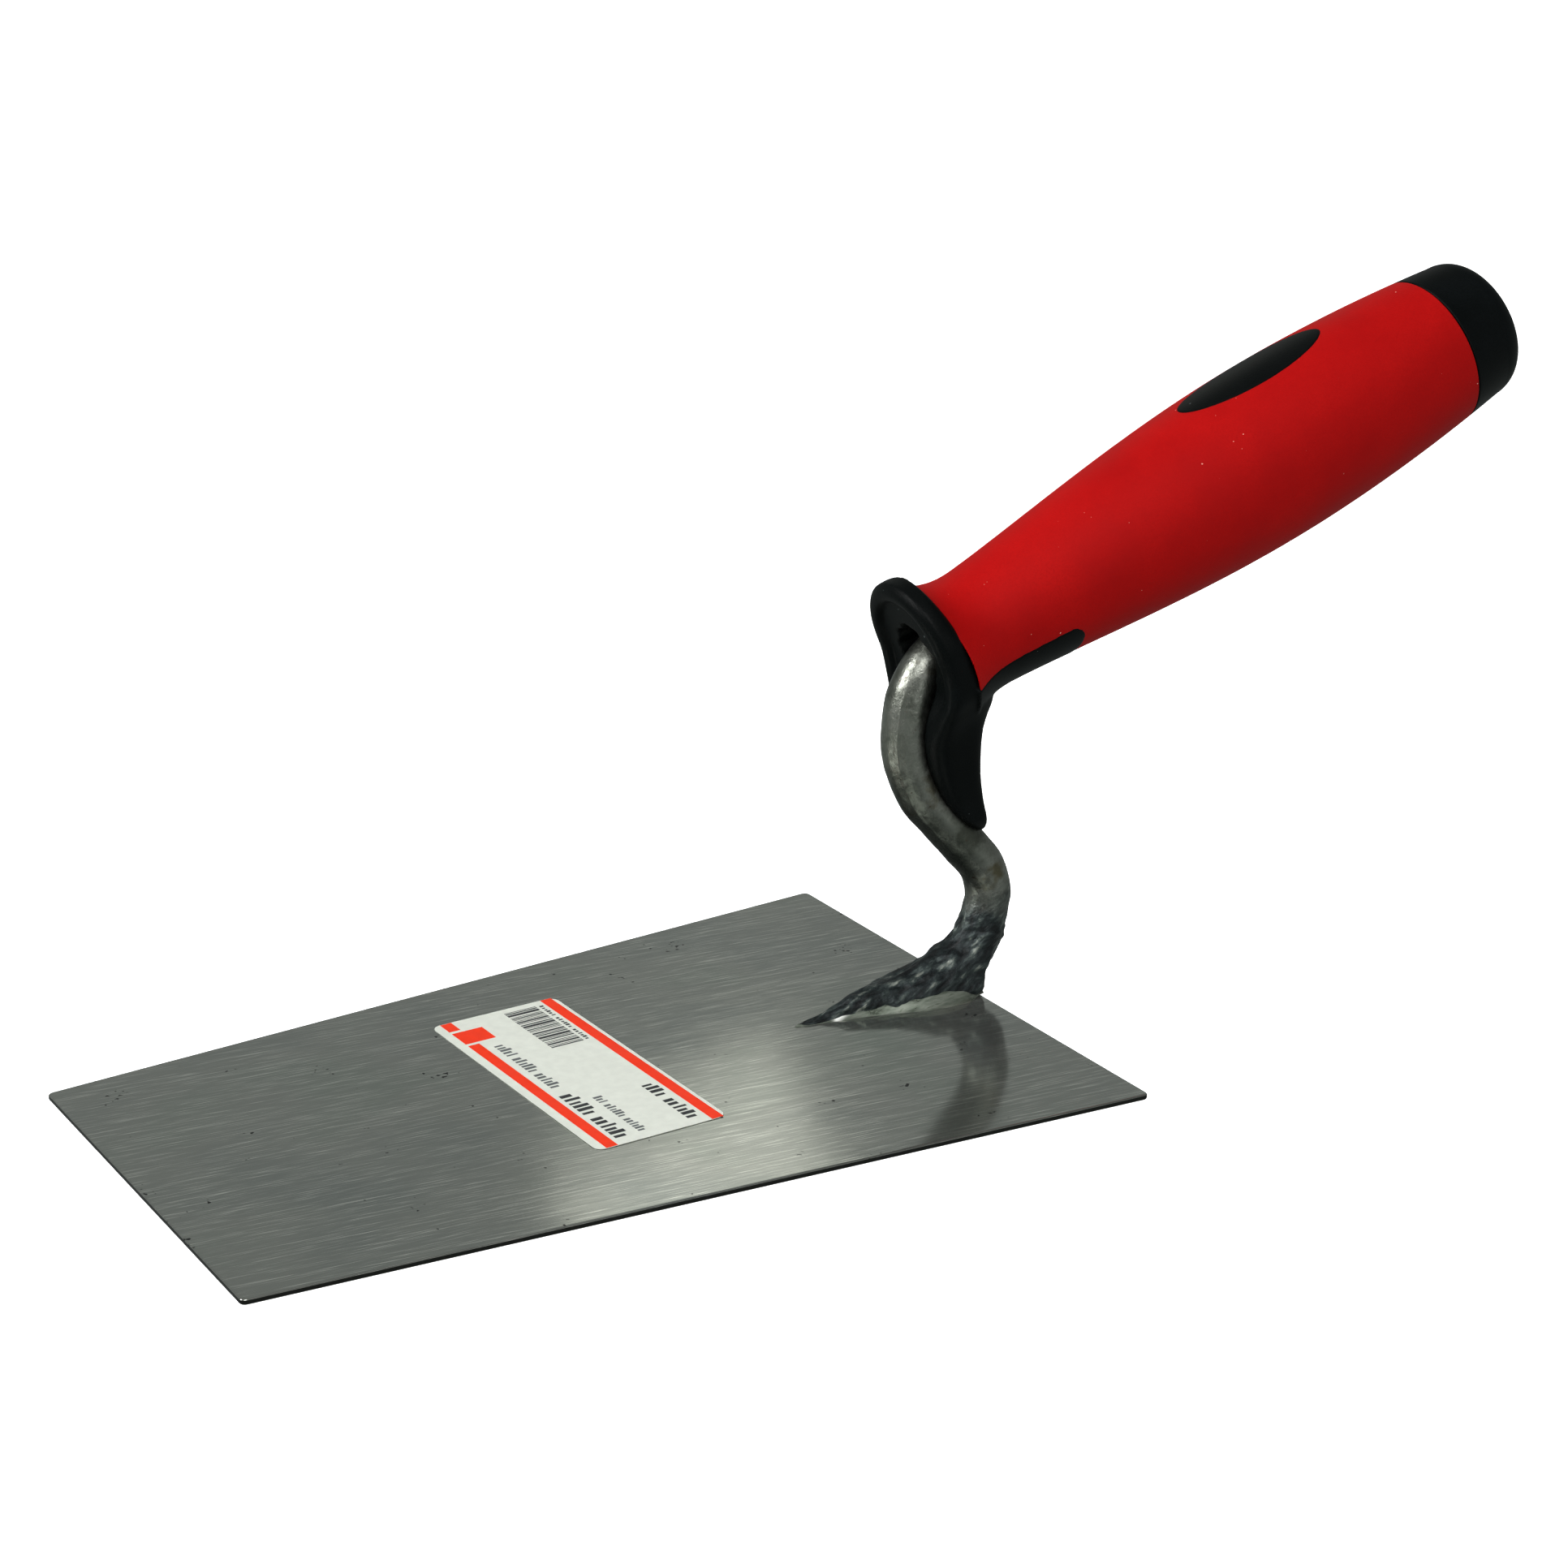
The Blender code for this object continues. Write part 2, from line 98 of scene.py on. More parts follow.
def softbox(name, place, aim, size, watts, colour="#FFFFFF"):
    """A rectangular area light at place, facing aim; size is its width and height in metres."""
    lamp = bpy.data.lights.new(name, "AREA")
    lamp.shape = "RECTANGLE"
    lamp.size, lamp.size_y = size
    lamp.energy = watts
    lamp.color = linear(colour)[:3]
    light = bpy.data.objects.new(name, lamp)
    direction = Vector(aim) - Vector(place)
    light.matrix_world = Matrix.Translation(place) @ direction.to_track_quat("-Z", "Y").to_matrix().to_4x4()
    bpy.context.scene.collection.objects.link(light)
    return light


def glowing_paint(name, colour, glow, strength):
    """A matt paint that also gives off light of its own."""
    made, shader = new_material(name, colour, 0.9)
    shader.inputs["Emission Color"].default_value = linear(glow)
    shader.inputs["Emission Strength"].default_value = strength
    return made


def studio_piece(name, points, faces, paint):
    """A painted mesh object for the studio, from points in metres."""
    mesh = bpy.data.meshes.new(name)
    mesh.from_pydata(points, [], faces)
    mesh.materials.append(paint)
    made = bpy.data.objects.new(name, mesh)
    bpy.context.scene.collection.objects.link(made)
    return made


def level_square(name, reach, height, paint):
    """A studio piece that reaches the same distance each way from the middle, at one height."""
    corners = [(-reach, -reach, height), (reach, -reach, height), (reach, reach, height), (-reach, reach, height)]
    return studio_piece(name, corners, [(0, 1, 2, 3)], paint)


white_paint = glowing_paint("matt white board", "#F4F4F3", "#FFFFFF", 1.0)
table = level_square("table", TABLE_REACH, 0.0, white_paint)
table.visible_diffuse = False
table.visible_glossy = False

# A white screen stands all round the table, far off, for the camera only.
turn = np.linspace(0.0, 2.0 * np.pi, SCREEN_SIDES, endpoint=False)
foot_line = SCREEN_RADIUS * np.column_stack([np.cos(turn), np.sin(turn), np.zeros(SCREEN_SIDES)])
foot_line[:, 2] = SCREEN_FOOT
k = np.arange(SCREEN_SIDES)
after = (k + 1) % SCREEN_SIDES
faces = np.column_stack([k, after, after + SCREEN_SIDES, k + SCREEN_SIDES]).tolist()
points = np.vstack([foot_line, foot_line + (0.0, 0.0, SCREEN_HEIGHT)]).tolist()
screen = studio_piece("white_screen", points, faces, white_paint)
screen.visible_diffuse = screen.visible_glossy = screen.visible_shadow = False

# A grey board just under the table is what the tool mirrors from below, and it throws a little light back up.
grey_paint = glowing_paint("grey bounce board", "#202020", "#F4FFFA", BOARD_GLOW)
board = level_square("bounce_board", BOARD_REACH, -BOARD_DROP, grey_paint)
board.visible_camera = False

# The room's light is brighter low down, which the blade mirrors from the side, and fades towards the ceiling.
room = bpy.data.worlds.new("dim room")
bpy.context.scene.world = room
room.use_nodes = True
sky = room.node_tree.nodes.new("ShaderNodeTexCoord").outputs["Generated"]
steepness = room.node_tree.nodes.new("ShaderNodeSeparateXYZ")
room.node_tree.links.new(sky, steepness.inputs[0])
fade = room.node_tree.nodes.new("ShaderNodeMapRange")
room.node_tree.links.new(steepness.outputs["Z"], fade.inputs["Value"])
for socket, value in (("From Min", 0.45), ("From Max", 0.75), ("To Min", 0.36), ("To Max", 0.14)):
    fade.inputs[socket].default_value = value
room.node_tree.nodes["Background"].inputs["Color"].default_value = linear("#C9CDCB")
room.node_tree.links.new(fade.outputs["Result"], room.node_tree.nodes["Background"].inputs["Strength"])

# Each light's place, aim, size in metres and watts.
softbox("key", (-0.50, -0.95, 1.14), (0.08, 0.0, 0.05), (0.9, 0.8), 13.8)
softbox("fill", (0.35, -1.80, 0.34), (0.08, 0.0, 0.05), (1.2, 0.5), 3.8)
softbox("ceiling", (0.10, 0.25, 1.70), (0.08, 0.1, 0.0), (1.4, 1.4), 2.0)
softbox("side", (-1.28, 0.27, 0.92), (0.08, 0.0, 0.06), (0.40, 0.70), 22.0)

# The steel mirrors what stands low behind the tool: a wide grey wall and, before it, a small card whose edge
# fades, made of four nested oblongs of equal brightness that lean to the left.
WALL_AWAY, CARD_AWAY, CARD_ASIDE, CARD_UP = 2.4, 1.2, 0.078, 0.092
CARD_WIDTHS, CARD_HEIGHT, CARD_WATTS_PER_METRE = (0.03, 0.06, 0.10, 0.14), 0.18, 0.60
CARD_LEAN = math.radians(28.0)
mirrored = Vector((0.40, 0.82, 0.41)).normalized()
sideways = mirrored.cross((0.0, 0.0, 1.0)).normalized()
upwards = sideways.cross(mirrored)
middle = Vector((0.0, -0.03, 0.0))
softbox("grey_wall", middle + WALL_AWAY * mirrored, middle, (3.0, 1.6), 1.2, "#F2FFF8")
place = middle + CARD_AWAY * mirrored + CARD_ASIDE * sideways + CARD_UP * upwards
for number, width in enumerate(CARD_WIDTHS):
    watts = CARD_WATTS_PER_METRE * width
    card = softbox(f"shine_card_{number}", place, middle, (width, CARD_HEIGHT), watts, "#FFFFF4")
    card.matrix_world = card.matrix_world @ Matrix.Rotation(CARD_LEAN, 4, "Z")

# ------------------------------------------------------------
# Blade: one plate of carbon spring steel a millimetre thick, blanked to a taper and ground along its length.
# The grinding leaves fine scratches, the brightest painted near white as glints, and the sheared edges are painted dark
# as painted shade.
LENGTH, HEEL, TOE, PLATE = 160.0, 113.0, 88.0, 1.0
CORNER = 1.0
DISHING = 0.05
GRIND_TURN = math.radians(-6.0)


def put_mesh(name, points, faces, sharp_deg=40.0):
    """A mesh object from points in millimetres, shaded smooth but for edges sharper than the given angle."""
    mesh = bpy.data.meshes.new(name)
    mesh.from_pydata((np.asarray(points, float) * MM).tolist(), [], [list(face) for face in faces])
    mesh.validate()
    mesh.shade_smooth()
    mesh.set_sharp_from_angle(angle=math.radians(sharp_deg))
    made = bpy.data.objects.new(name, mesh)
    bpy.context.scene.collection.objects.link(made)
    return made


def grid_faces(rows, columns, close_rows=False):
    """Four-sided faces between neighbouring points of a grid whose columns run round and join up."""
    i = np.arange(rows if close_rows else rows - 1)[:, None]
    j = np.arange(columns)[None, :]
    k, n = (j + 1) % columns, (i + 1) % rows
    quads = np.stack([i * columns + j, n * columns + j, n * columns + k, i * columns + k], axis=-1)
    return quads.reshape(-1, 4).tolist()


def closed_skin(name, rings, sharp_deg=40.0):
    """A closed surface through rings of points, each end gathered to the middle of its last ring."""
    rings = np.asarray(rings, float)
    rows, columns = rings.shape[:2]
    points = np.vstack([rings.reshape(-1, 3), rings[0].mean(0), rings[-1].mean(0)])
    j = np.arange(columns)
    k = (j + 1) % columns
    first = np.stack([np.full(columns, rows * columns), j, k], axis=1)
    last = np.stack([np.full(columns, rows * columns + 1), (rows - 1) * columns + k, (rows - 1) * columns + j], axis=1)
    return put_mesh(name, points, grid_faces(rows, columns) + first.tolist() + last.tolist(), sharp_deg)


def face_outwards(piece):
    """Turns the whole skin over if its faces enclose a negative volume."""
    mesh = piece.data
    mesh.calc_loop_triangles()
    co = np.empty(len(mesh.vertices) * 3)
    mesh.vertices.foreach_get("co", co)
    index = np.empty(len(mesh.loop_triangles) * 3, int)
    mesh.loop_triangles.foreach_get("vertices", index)
    a, b, c = co.reshape(-1, 3)[index.reshape(-1, 3)].transpose(1, 0, 2)
    if np.einsum("ij,ij->i", a, np.cross(b, c)).sum() < 0:
        mesh.flip_normals()
    return piece


def add_node(tree, kind, inputs, result=0, stops=(), **settings):
    """Adds a shader node with its settings, colour stops and inputs, each a value or another node's output."""
    node = tree.nodes.new("ShaderNode" + kind)
    for key, value in settings.items():
        setattr(node, key, value)
    if stops:
        band = node.color_ramp.elements
        while len(band) < len(stops):
            band.new(1.0)
        for element, (position, colour) in zip(band, stops):
            element.position, element.color = position, linear(colour)
    for key, value in inputs.items():
        if isinstance(value, bpy.types.NodeSocket):
            tree.links.new(value, node.inputs[key])
        else:
            node.inputs[key].default_value = value
    return node.outputs[result]


def arc(centre, radius, start, end, steps):
    """Points on a circle, the cosine and sine of turns in degrees from start to end in equal steps."""
    turn = np.radians(np.linspace(start, end, steps + 1))
    return np.stack([centre[0] + radius * np.cos(turn), centre[1] + radius * np.sin(turn)], axis=1)


def plate_outline(steps):
    """The tapered plate from above: straight sides cut into steps, with an arc of radius CORNER at each corner."""
    slope = math.degrees(math.atan2((HEEL - TOE) / 2, LENGTH))
    heel_in = CORNER * math.tan(math.radians(45 + slope / 2))
    toe_in = CORNER * math.tan(math.radians(45 - slope / 2))
    corners = [
        arc((LENGTH / 2 - CORNER, -HEEL / 2 + heel_in), CORNER, -90 - slope, 0, 5),
        arc((LENGTH / 2 - CORNER, HEEL / 2 - heel_in), CORNER, 0, 90 + slope, 5),
        arc((-LENGTH / 2 + CORNER, TOE / 2 - toe_in), CORNER, 90 + slope, 180, 5),
        arc((-LENGTH / 2 + CORNER, -TOE / 2 + toe_in), CORNER, 180, 270 - slope, 5),
    ]
    runs = []
    for here, there in zip(corners, corners[1:] + corners[:1]):
        runs.append(here)
        runs.append(here[-1] + (there[0] - here[-1]) * np.linspace(0, 1, steps + 1)[1:-1, None])
    return np.vstack(runs)


def plate_rings():
    """The plate's skin: shrunken copies of the outline out to the edge, a worn arris, and back underneath.

    The working face is a little dished and rippled, as a ground sheet is, by a few hundredths of a millimetre.
    """
    outline = plate_outline(36)
    inset = np.array([0.30, 0.12, 0.03, 0.0, 0.0, 0.03, 0.12, 0.30])
    height = np.array([1.0, 0.96, 0.86, 0.72, 0.28, 0.14, 0.04, 0.0]) * PLATE
    inner = np.linspace(0.02, 0.99, 44)
    half = np.array([LENGTH / 2, HEEL / 2])
    rings = [np.column_stack([outline * t, np.full(len(outline), PLATE)]) for t in inner]
    rings += [np.column_stack([outline * (1 - d / half), np.full(len(outline), h)]) for d, h in zip(inset, height)]
    rings += [np.column_stack([outline * t, np.zeros(len(outline))]) for t in inner[::-11]]
    rings = np.array(rings)
    x, y = rings[: len(inner), :, 0], rings[: len(inner), :, 1]
    calm = 1 - (np.arange(len(inner)) / (len(inner) - 1))[:, None] ** 6
    waves = np.sin(x / 31.0 + 0.6) * np.cos(y / 24.0) + 0.5 * np.sin(y / 13.0 + x / 47.0)
    rings[: len(inner), :, 2] += calm * DISHING * waves
    return rings


blade = face_outwards(closed_skin("blade_plate", plate_rings(), 50.0))

# Ground carbon steel: cool grey metal whose scratches run a few degrees off the blade's length; the brightest of them
# are painted near white as glints.
# Real grit leaves lines of about 0.1 mm; they are drawn 0.25 mm wide so that they show. The sheared edge is painted
# dark, painted shade for the dark room it mirrors, and a film of oil and dust, the part that isn't metallic, lays a
# faint haze over what the steel mirrors.
ground_steel, steel = new_material("ground carbon steel", "#8E918D", 0.3, 0.85)
tree = ground_steel.node_tree
place = add_node(tree, "TexCoord", {}, "Object")
turned = {"Vector": place, "Rotation": (0.0, 0.0, GRIND_TURN)}
hair = add_node(tree, "Mapping", {**turned, "Scale": (0.009, 0.00018, 0.00018)}, vector_type="TEXTURE")
fine = add_node(tree, "TexNoise", {"Vector": hair, "Scale": 1.0, "Detail": 3.0, "Roughness": 0.6})
lane = add_node(tree, "Mapping", {**turned, "Scale": (0.05, 0.0008, 0.0008)}, vector_type="TEXTURE")
bands = add_node(tree, "TexNoise", {"Vector": lane, "Scale": 1.0, "Detail": 2.0})
cloud = add_node(tree, "TexNoise", {"Vector": place, "Scale": 26.0, "Detail": 3.0})
tint = add_node(
    tree, "ValToRGB", {"Fac": cloud}, stops=((0.30, "#858A86"), (0.52, "#92958F"), (0.72, "#8A9189"))
)
# The brightest scratches are painted near white: painted glints, where the steel would catch the light.
scratch_glints = add_node(tree, "MapRange", {"Value": fine, "From Min": 0.54, "From Max": 0.74})
toned = add_node(tree, "Mix", {0: scratch_glints, 6: tint, 7: linear("#D6D8D0")}, 2, data_type="RGBA")
pits = add_node(tree, "TexNoise", {"Vector": place, "Scale": 900.0, "Detail": 1.0})
pit_areas = add_node(tree, "TexNoise", {"Vector": place, "Scale": 120.0, "Detail": 1.0})
scattered = add_node(tree, "Math", {0: pits, 1: pit_areas}, operation="MULTIPLY")
pitted = add_node(tree, "MapRange", {"Value": scattered, "From Min": 0.465, "From Max": 0.49})
coloured = add_node(tree, "Mix", {0: pitted, 6: toned, 7: linear("#1E1F1D")}, 2, data_type="RGBA")
height = add_node(tree, "SeparateXYZ", {"Vector": place}, "Z")
above = add_node(tree, "MapRange", {"Value": height, "From Min": 0.00080, "From Max": 0.00090})
below = add_node(tree, "MapRange", {"Value": height, "From Min": 0.00020, "From Max": 0.00008})
faces_of_plate = add_node(tree, "Math", {0: above, 1: below}, operation="MAXIMUM")
# Where faces_of_plate is 0, on the edges, the colour is painted dark: painted shade in place of the dark room that the
# edges mirror.
edges_painted_dark = add_node(tree, "Mix", {0: faces_of_plate, 6: linear("#232421"), 7: coloured}, 2, data_type="RGBA")
tree.links.new(edges_painted_dark, steel.inputs["Base Color"])
band_gloss = {"Value": bands, "From Min": 0.3, "From Max": 0.7, "To Min": 0.09, "To Max": 0.14}
worn = add_node(tree, "MapRange", band_gloss)
dull = add_node(tree, "MapRange", {"Value": faces_of_plate, "To Min": 0.3, "To Max": 0.0})
gloss = add_node(tree, "Math", {0: worn, 1: dull}, operation="ADD")
tree.links.new(gloss, steel.inputs["Roughness"])
scratched = add_node(tree, "Bump", {"Height": fine, "Distance": 0.0009 * MM})
scratched = add_node(tree, "Bump", {"Height": bands, "Distance": 0.0006 * MM, "Normal": scratched})
tree.links.new(scratched, steel.inputs["Normal"])
blade.data.materials.append(ground_steel)
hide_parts("blade")
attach(blade, "root")

# ------------------------------------------------------------
# Label: a self-adhesive film label with two red stripes, stuck a little askew across the blade. Its print here
# is plain: bars, dashes and blocks that say nothing.
LABEL_SIZE = (25.0, 61.0)
LABEL_TURN = math.radians(1.5)
LABEL_PLACE = (1.3, 4.2)
LABEL_CORNER = 1.8
GLUE, FILM = 0.06, 0.09
STRIPE_INK, PRINT_INK, INK_SUNK = 0.025, 0.02, 0.01


def on_blade(points, height):
    """Label points (across, along) in millimetres turned and set down on the blade at the given heights."""
    points = np.asarray(points, float)
    c, s = math.cos(LABEL_TURN), math.sin(LABEL_TURN)
    x = LABEL_PLACE[0] + c * points[:, 0] - s * points[:, 1]
    y = LABEL_PLACE[1] + s * points[:, 0] + c * points[:, 1]
    return np.column_stack([x, y, np.broadcast_to(height, x.shape)])


def rounded_box(width, length, radius, steps=6):
    """An oblong about the middle with four corner arcs, each centred one radius in from both its sides."""
    a, b = width / 2 - radius, length / 2 - radius
    sides = [arc((a, -b), radius, -90, 0, steps), arc((a, b), radius, 0, 90, steps)]
    sides += [arc((-a, b), radius, 90, 180, steps), arc((-a, -b), radius, 180, 270, steps)]
    return np.vstack(sides)


def flat_print(name, outlines, thickness, base):
    """Thin closed tiles, one for each outline, all in one mesh."""
    points, faces, start = [], [], 0
    for outline in outlines:
        n = len(outline)
        points += [on_blade(outline, base), on_blade(outline, base + thickness)]
        j = np.arange(n)
        k = (j + 1) % n
        faces += np.stack([start + j, start + k, start + n + k, start + n + j], axis=1).tolist()
        faces += [(start + j[::-1]).tolist(), (start + n + j).tolist()]
        start += 2 * n
    return face_outwards(put_mesh(name, np.vstack(points), faces))


def tile(x, y, width, length):
    """The four corners of an oblong from its lowest corner, its width across and its length along the label."""
    return np.array([(x, y), (x + width, y), (x + width, y + length), (x, y + length)])


def film_paint(name, colour, roughness, specular):
    """Printed film: satin, a touch uneven from the print screen, with dust and finger marks in the gloss."""
    paint, shader = new_material(name, colour, roughness)
    shader.inputs["Specular IOR Level"].default_value = specular
    tree = paint.node_tree
    place = add_node(tree, "TexCoord", {}, "Object")
    mottle = add_node(tree, "TexNoise", {"Vector": place, "Scale": 600.0, "Detail": 3.0})
    uneven = add_node(tree, "MapRange", {"Value": mottle, "From Min": 0.3, "From Max": 0.7})
    base = linear(colour)
    darker = (*(0.92 * part for part in base[:3]), 1.0)
    toned = add_node(tree, "Mix", {0: uneven, 6: darker, 7: base}, 2, data_type="RGBA")
    tree.links.new(toned, shader.inputs["Base Color"])
    smear = add_node(tree, "TexNoise", {"Vector": place, "Scale": 140.0, "Detail": 2.0})
    smeared = {"Value": smear, "To Min": roughness - 0.15, "To Max": roughness + 0.15}
    gloss = add_node(tree, "MapRange", smeared)
    tree.links.new(gloss, shader.inputs["Roughness"])
    pressed = add_node(tree, "Bump", {"Height": smear, "Distance": 0.03 * MM})
    tree.links.new(pressed, shader.inputs["Normal"])
    return paint


surface = PLATE + GLUE
film = flat_print("label_film", [rounded_box(*LABEL_SIZE, LABEL_CORNER)], FILM, surface)
film.data.materials.append(film_paint("white polyester label film", "#DEE2D8", 0.42, 0.35))

ink_base = surface + FILM - INK_SUNK
stripes = [tile(9.6, -30.45, 2.2, 60.9), tile(-10.8, -30.45, 2.2, 49.8), tile(-10.8, 26.6, 2.2, 3.8)]
red_print = flat_print("label_stripes", [*stripes, tile(-10.8, 20.2, 6.0, 5.5)], STRIPE_INK, ink_base)
red_print.data.materials.append(film_paint("red screen ink", "#F2350F", 0.45, 0.15))


def bar_tiles(x, y, width, run):
    """Fine bars across a strip: widths step through a short cycle and each bar is followed by its gap."""
    most = 60
    widths = np.resize([0.42, 0.22, 0.60, 0.22, 0.22, 0.42, 0.22, 0.80], most)
    gaps = np.resize([0.26, 0.40, 0.26, 0.26, 0.55, 0.26], most)
    starts = y + np.concatenate([[0.0], np.cumsum(widths + gaps)[:-1]])
    return [tile(x, start, width, bar) for start, bar in zip(starts, widths) if start + bar < y + run]


def dash_tiles(x, y, tall, run, pitch):
    """A row of plain blocks in groups: one block to a pitch, every seventh left out, their heights uneven."""
    k = np.arange(int(run / pitch))
    heights = tall * (0.74 + 0.26 * (np.sin(2.4 * k) > 0.1))
    wide = pitch * (0.58 + 0.14 * np.sin(1.7 * k))
    return [tile(x, y + pitch * n, heights[n], wide[n]) for n in k if n % 7 != 6]


rows = bar_tiles(1.2, 10.4, 6.4, 18.6) + dash_tiles(8.2, 10.6, 0.8, 18.0, 0.9)
rows += dash_tiles(-7.7, -28.0, 2.9, 20.4, 1.55) + dash_tiles(6.3, -27.9, 2.5, 17.8, 1.5)
black_print = flat_print("label_print", rows, PRINT_INK, ink_base)
black_print.data.materials.append(film_paint("black screen ink", "#26292B", 0.5, 0.3))
rows = dash_tiles(-7.1, -4.6, 2.2, 22.0, 1.15) + dash_tiles(-3.1, -27.7, 1.7, 16.2, 0.95)
grey_print = flat_print("label_small_print", rows, PRINT_INK, ink_base)
grey_print.data.materials.append(film_paint("grey screen ink", "#5B5F60", 0.5, 0.3))
for piece in (film, red_print, black_print, grey_print):
    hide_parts("size_label")
    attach(piece, "root")

# ------------------------------------------------------------
# Neck: a round steel bar, drop-forged to an S with a wedge-shaped foot, tumbled and left bare. The bar goes on
# into the handle as the tang. Its foot carries black scale and lumps from the weld.
HANDLE_ROOT = np.array([80.0, 68.5])
HANDLE_TILT = math.radians(20.4)
BAR_RADIUS, TANG_RADIUS = 4.2, 3.6
FOOT_GAP = 0.05
# Radius, heading at the end in degrees, and steps; a straight has no radius and gives its length instead.
BENDS = ((12.3, 249.0, 16), (22.0, 311.0, 44), (None, 14.5, 24), (13.2, 270.0, 22))


def along_handle(s):
    """A point s millimetres along the handle's axis, as x and z."""
    return HANDLE_ROOT + s * np.array([math.cos(HANDLE_TILT), math.sin(HANDLE_TILT)])


def bar_path():
    """Centres, headings and radii down the bar: tang, two arcs of the upper bend, a straight and the lower bend.

    Along an arc the heading turns evenly, so each centre is the last one plus the chord of that turn.
    """
    heading = math.pi + HANDLE_TILT
    start = along_handle(-5.0)
    centres, headings = [along_handle(20.0), along_handle(2.0), start], [heading] * 3
    radii = [TANG_RADIUS, TANG_RADIUS, TANG_RADIUS + 0.2]
    for radius, end, steps in BENDS:
        if radius is None:
            ahead = np.array([math.cos(heading), math.sin(heading)])
            run = centres[-1] + ahead * np.linspace(0, end, steps + 1)[1:, None]
            turned = np.full(steps, heading)
        else:
            turned = np.linspace(heading, math.radians(end), steps + 1)[1:]
            side = math.copysign(radius, math.radians(end) - heading)
            chord = np.stack([np.sin(turned) - math.sin(heading), math.cos(heading) - np.cos(turned)], axis=1)
            run = centres[-1] + side * chord
        centres += list(run)
        headings += list(turned)
        radii += [BAR_RADIUS] * steps
        heading = headings[-1]
    return np.array(centres), np.array(headings), np.array(radii)


def smooth_through(table, count):
    """Rows read evenly from Catmull-Rom curves, cubics that pass through every row of a small table."""
    table = np.asarray(table, float)
    padded = np.vstack([2 * table[0] - table[1], table, 2 * table[-1] - table[-2]])
    place = np.linspace(0, len(table) - 1, count)
    i = np.minimum(place.astype(int), len(table) - 2)
    t = (place - i)[:, None]
    a, b, c, d = (padded[i + k] for k in range(4))
    return 0.5 * (2 * b + (c - a) * t + (2 * a - 5 * b + 4 * c - d) * t**2 + (3 * b - a - 3 * c + d) * t**3)


def sections(inner, outer, half_width, widest, around):
    """Closed sections from ridge points to base points of the X-Z plane, bulging half_width to each side.

    Going round, height follows the cosine and width the sine of the turn; widest slides the broadest place from
    the middle (0) down to the base (-1), which makes a round bar into a bell.
    """
    turn = np.linspace(0.0, 2.0 * np.pi, around, endpoint=False)[None, :]
    c, widest = np.cos(turn), widest[:, None]
    lift = np.where(c > 0, widest + (1 - widest) * c, widest + (1 + widest) * c)
    middle, reach = (inner + outer) / 2, (inner - outer) / 2
    return np.stack(
        [
            middle[:, :1] + lift * reach[:, :1],
            half_width[:, None] * np.sin(turn),
            middle[:, 1:] + lift * reach[:, 1:],
        ],
        axis=-1,
    )


def ripple(points, wavelength, seed):
    """Lumpy height between about -1 and 1: a sum of sine waves in seeded directions near one wavelength."""
    rng = np.random.default_rng(seed)
    total = np.zeros(points.shape[:-1])
    for _ in range(14):
        direction = rng.normal(size=3)
        direction *= 2 * np.pi / (wavelength * rng.uniform(0.6, 1.5) * np.linalg.norm(direction))
        total += np.sin(points @ direction + rng.uniform(0, 2 * np.pi))
    return total / 4.0


def rise(value, low, high):
    """0 below low, 1 above high and a smooth step between."""
    t = np.clip((value - low) / (high - low), 0.0, 1.0)
    return t * t * (3 - 2 * t)


def swell(rings, height):
    """Moves each point of the rings along the skin's normal by height millimetres."""
    along = np.gradient(rings, axis=0)
    around = np.roll(rings, -1, axis=1) - np.roll(rings, 1, axis=1)
    normal = np.cross(along, around)
    size = np.linalg.norm(normal, axis=-1, keepdims=True)
    normal /= np.maximum(size, 1e-9)
    centre = rings.mean(axis=1, keepdims=True)
    inward = np.sum(normal * (rings - centre), axis=-1, keepdims=True).sum() < 0
    return rings + (-normal if inward else normal) * height[..., None]


AROUND = 112
centres, headings, radii = bar_path()
across = np.stack([np.sin(headings), -np.cos(headings)], axis=1) * radii[:, None]
bar = sections(centres + across, centres - across, radii, np.zeros(len(radii)), AROUND)
base = PLATE + FOOT_GAP
# Ridge x and z, base x and z, half width and place of the greatest width, from the lower bend to the tip.
FOOT = (
    (80.2, 16.6, 88.6, 15.6, 4.2, 0.0),
    (79.5, 14.8, 88.1, 12.9, 4.3, 0.0),
    (78.2, 12.4, 86.1, 8.8, 4.5, -0.2),
    (76.1, 10.6, 83.2, 5.4, 4.8, -0.5),
    (73.3, 9.2, 80.9, 2.6, 5.1, -0.75),
    (69.8, 7.9, 79.2, base, 5.3, -0.88),
    (65.0, 6.4, 71.5, base, 4.9, -0.9),
    (60.0, 5.2, 64.0, base, 3.7, -0.9),
    (55.0, 4.2, 57.5, base, 2.3, -0.88),
    (50.5, 2.9, 52.0, base, 1.4, -0.85),
    (46.8, 2.0, 47.4, base, 0.9, -0.8),
    (44.6, 1.4, 44.9, base, 0.4, -0.8),
)
stations = smooth_through(FOOT, 190)
stations[:, 3] = np.maximum(stations[:, 3], base)
stations[:, 1] = np.maximum(stations[:, 1], stations[:, 3] + 0.2)
foot = sections(stations[:, :2], stations[:, 2:4], np.maximum(stations[:, 4], 0.3), stations[:, 5], AROUND)
neck_rings = np.concatenate([bar, foot[1:]])
z = neck_rings[..., 2]

# Low on the foot, lumps drawn out along it; all over, the faint dents of the hammer.
scaled = (1 - rise(z, 10.0, 19.0)) * rise(z, base + 0.1, base + 0.9)
drawn_out = neck_rings * (0.45, 1.0, 0.8)
lumps = 0.42 * ripple(drawn_out, 4.4, 3) + 0.13 * ripple(drawn_out, 1.9, 5) + 0.03 * ripple(neck_rings, 0.9, 6)
lumps *= scaled
hammered = 0.05 * ripple(neck_rings, 9.0, 8) + 0.02 * ripple(neck_rings, 3.0, 9)

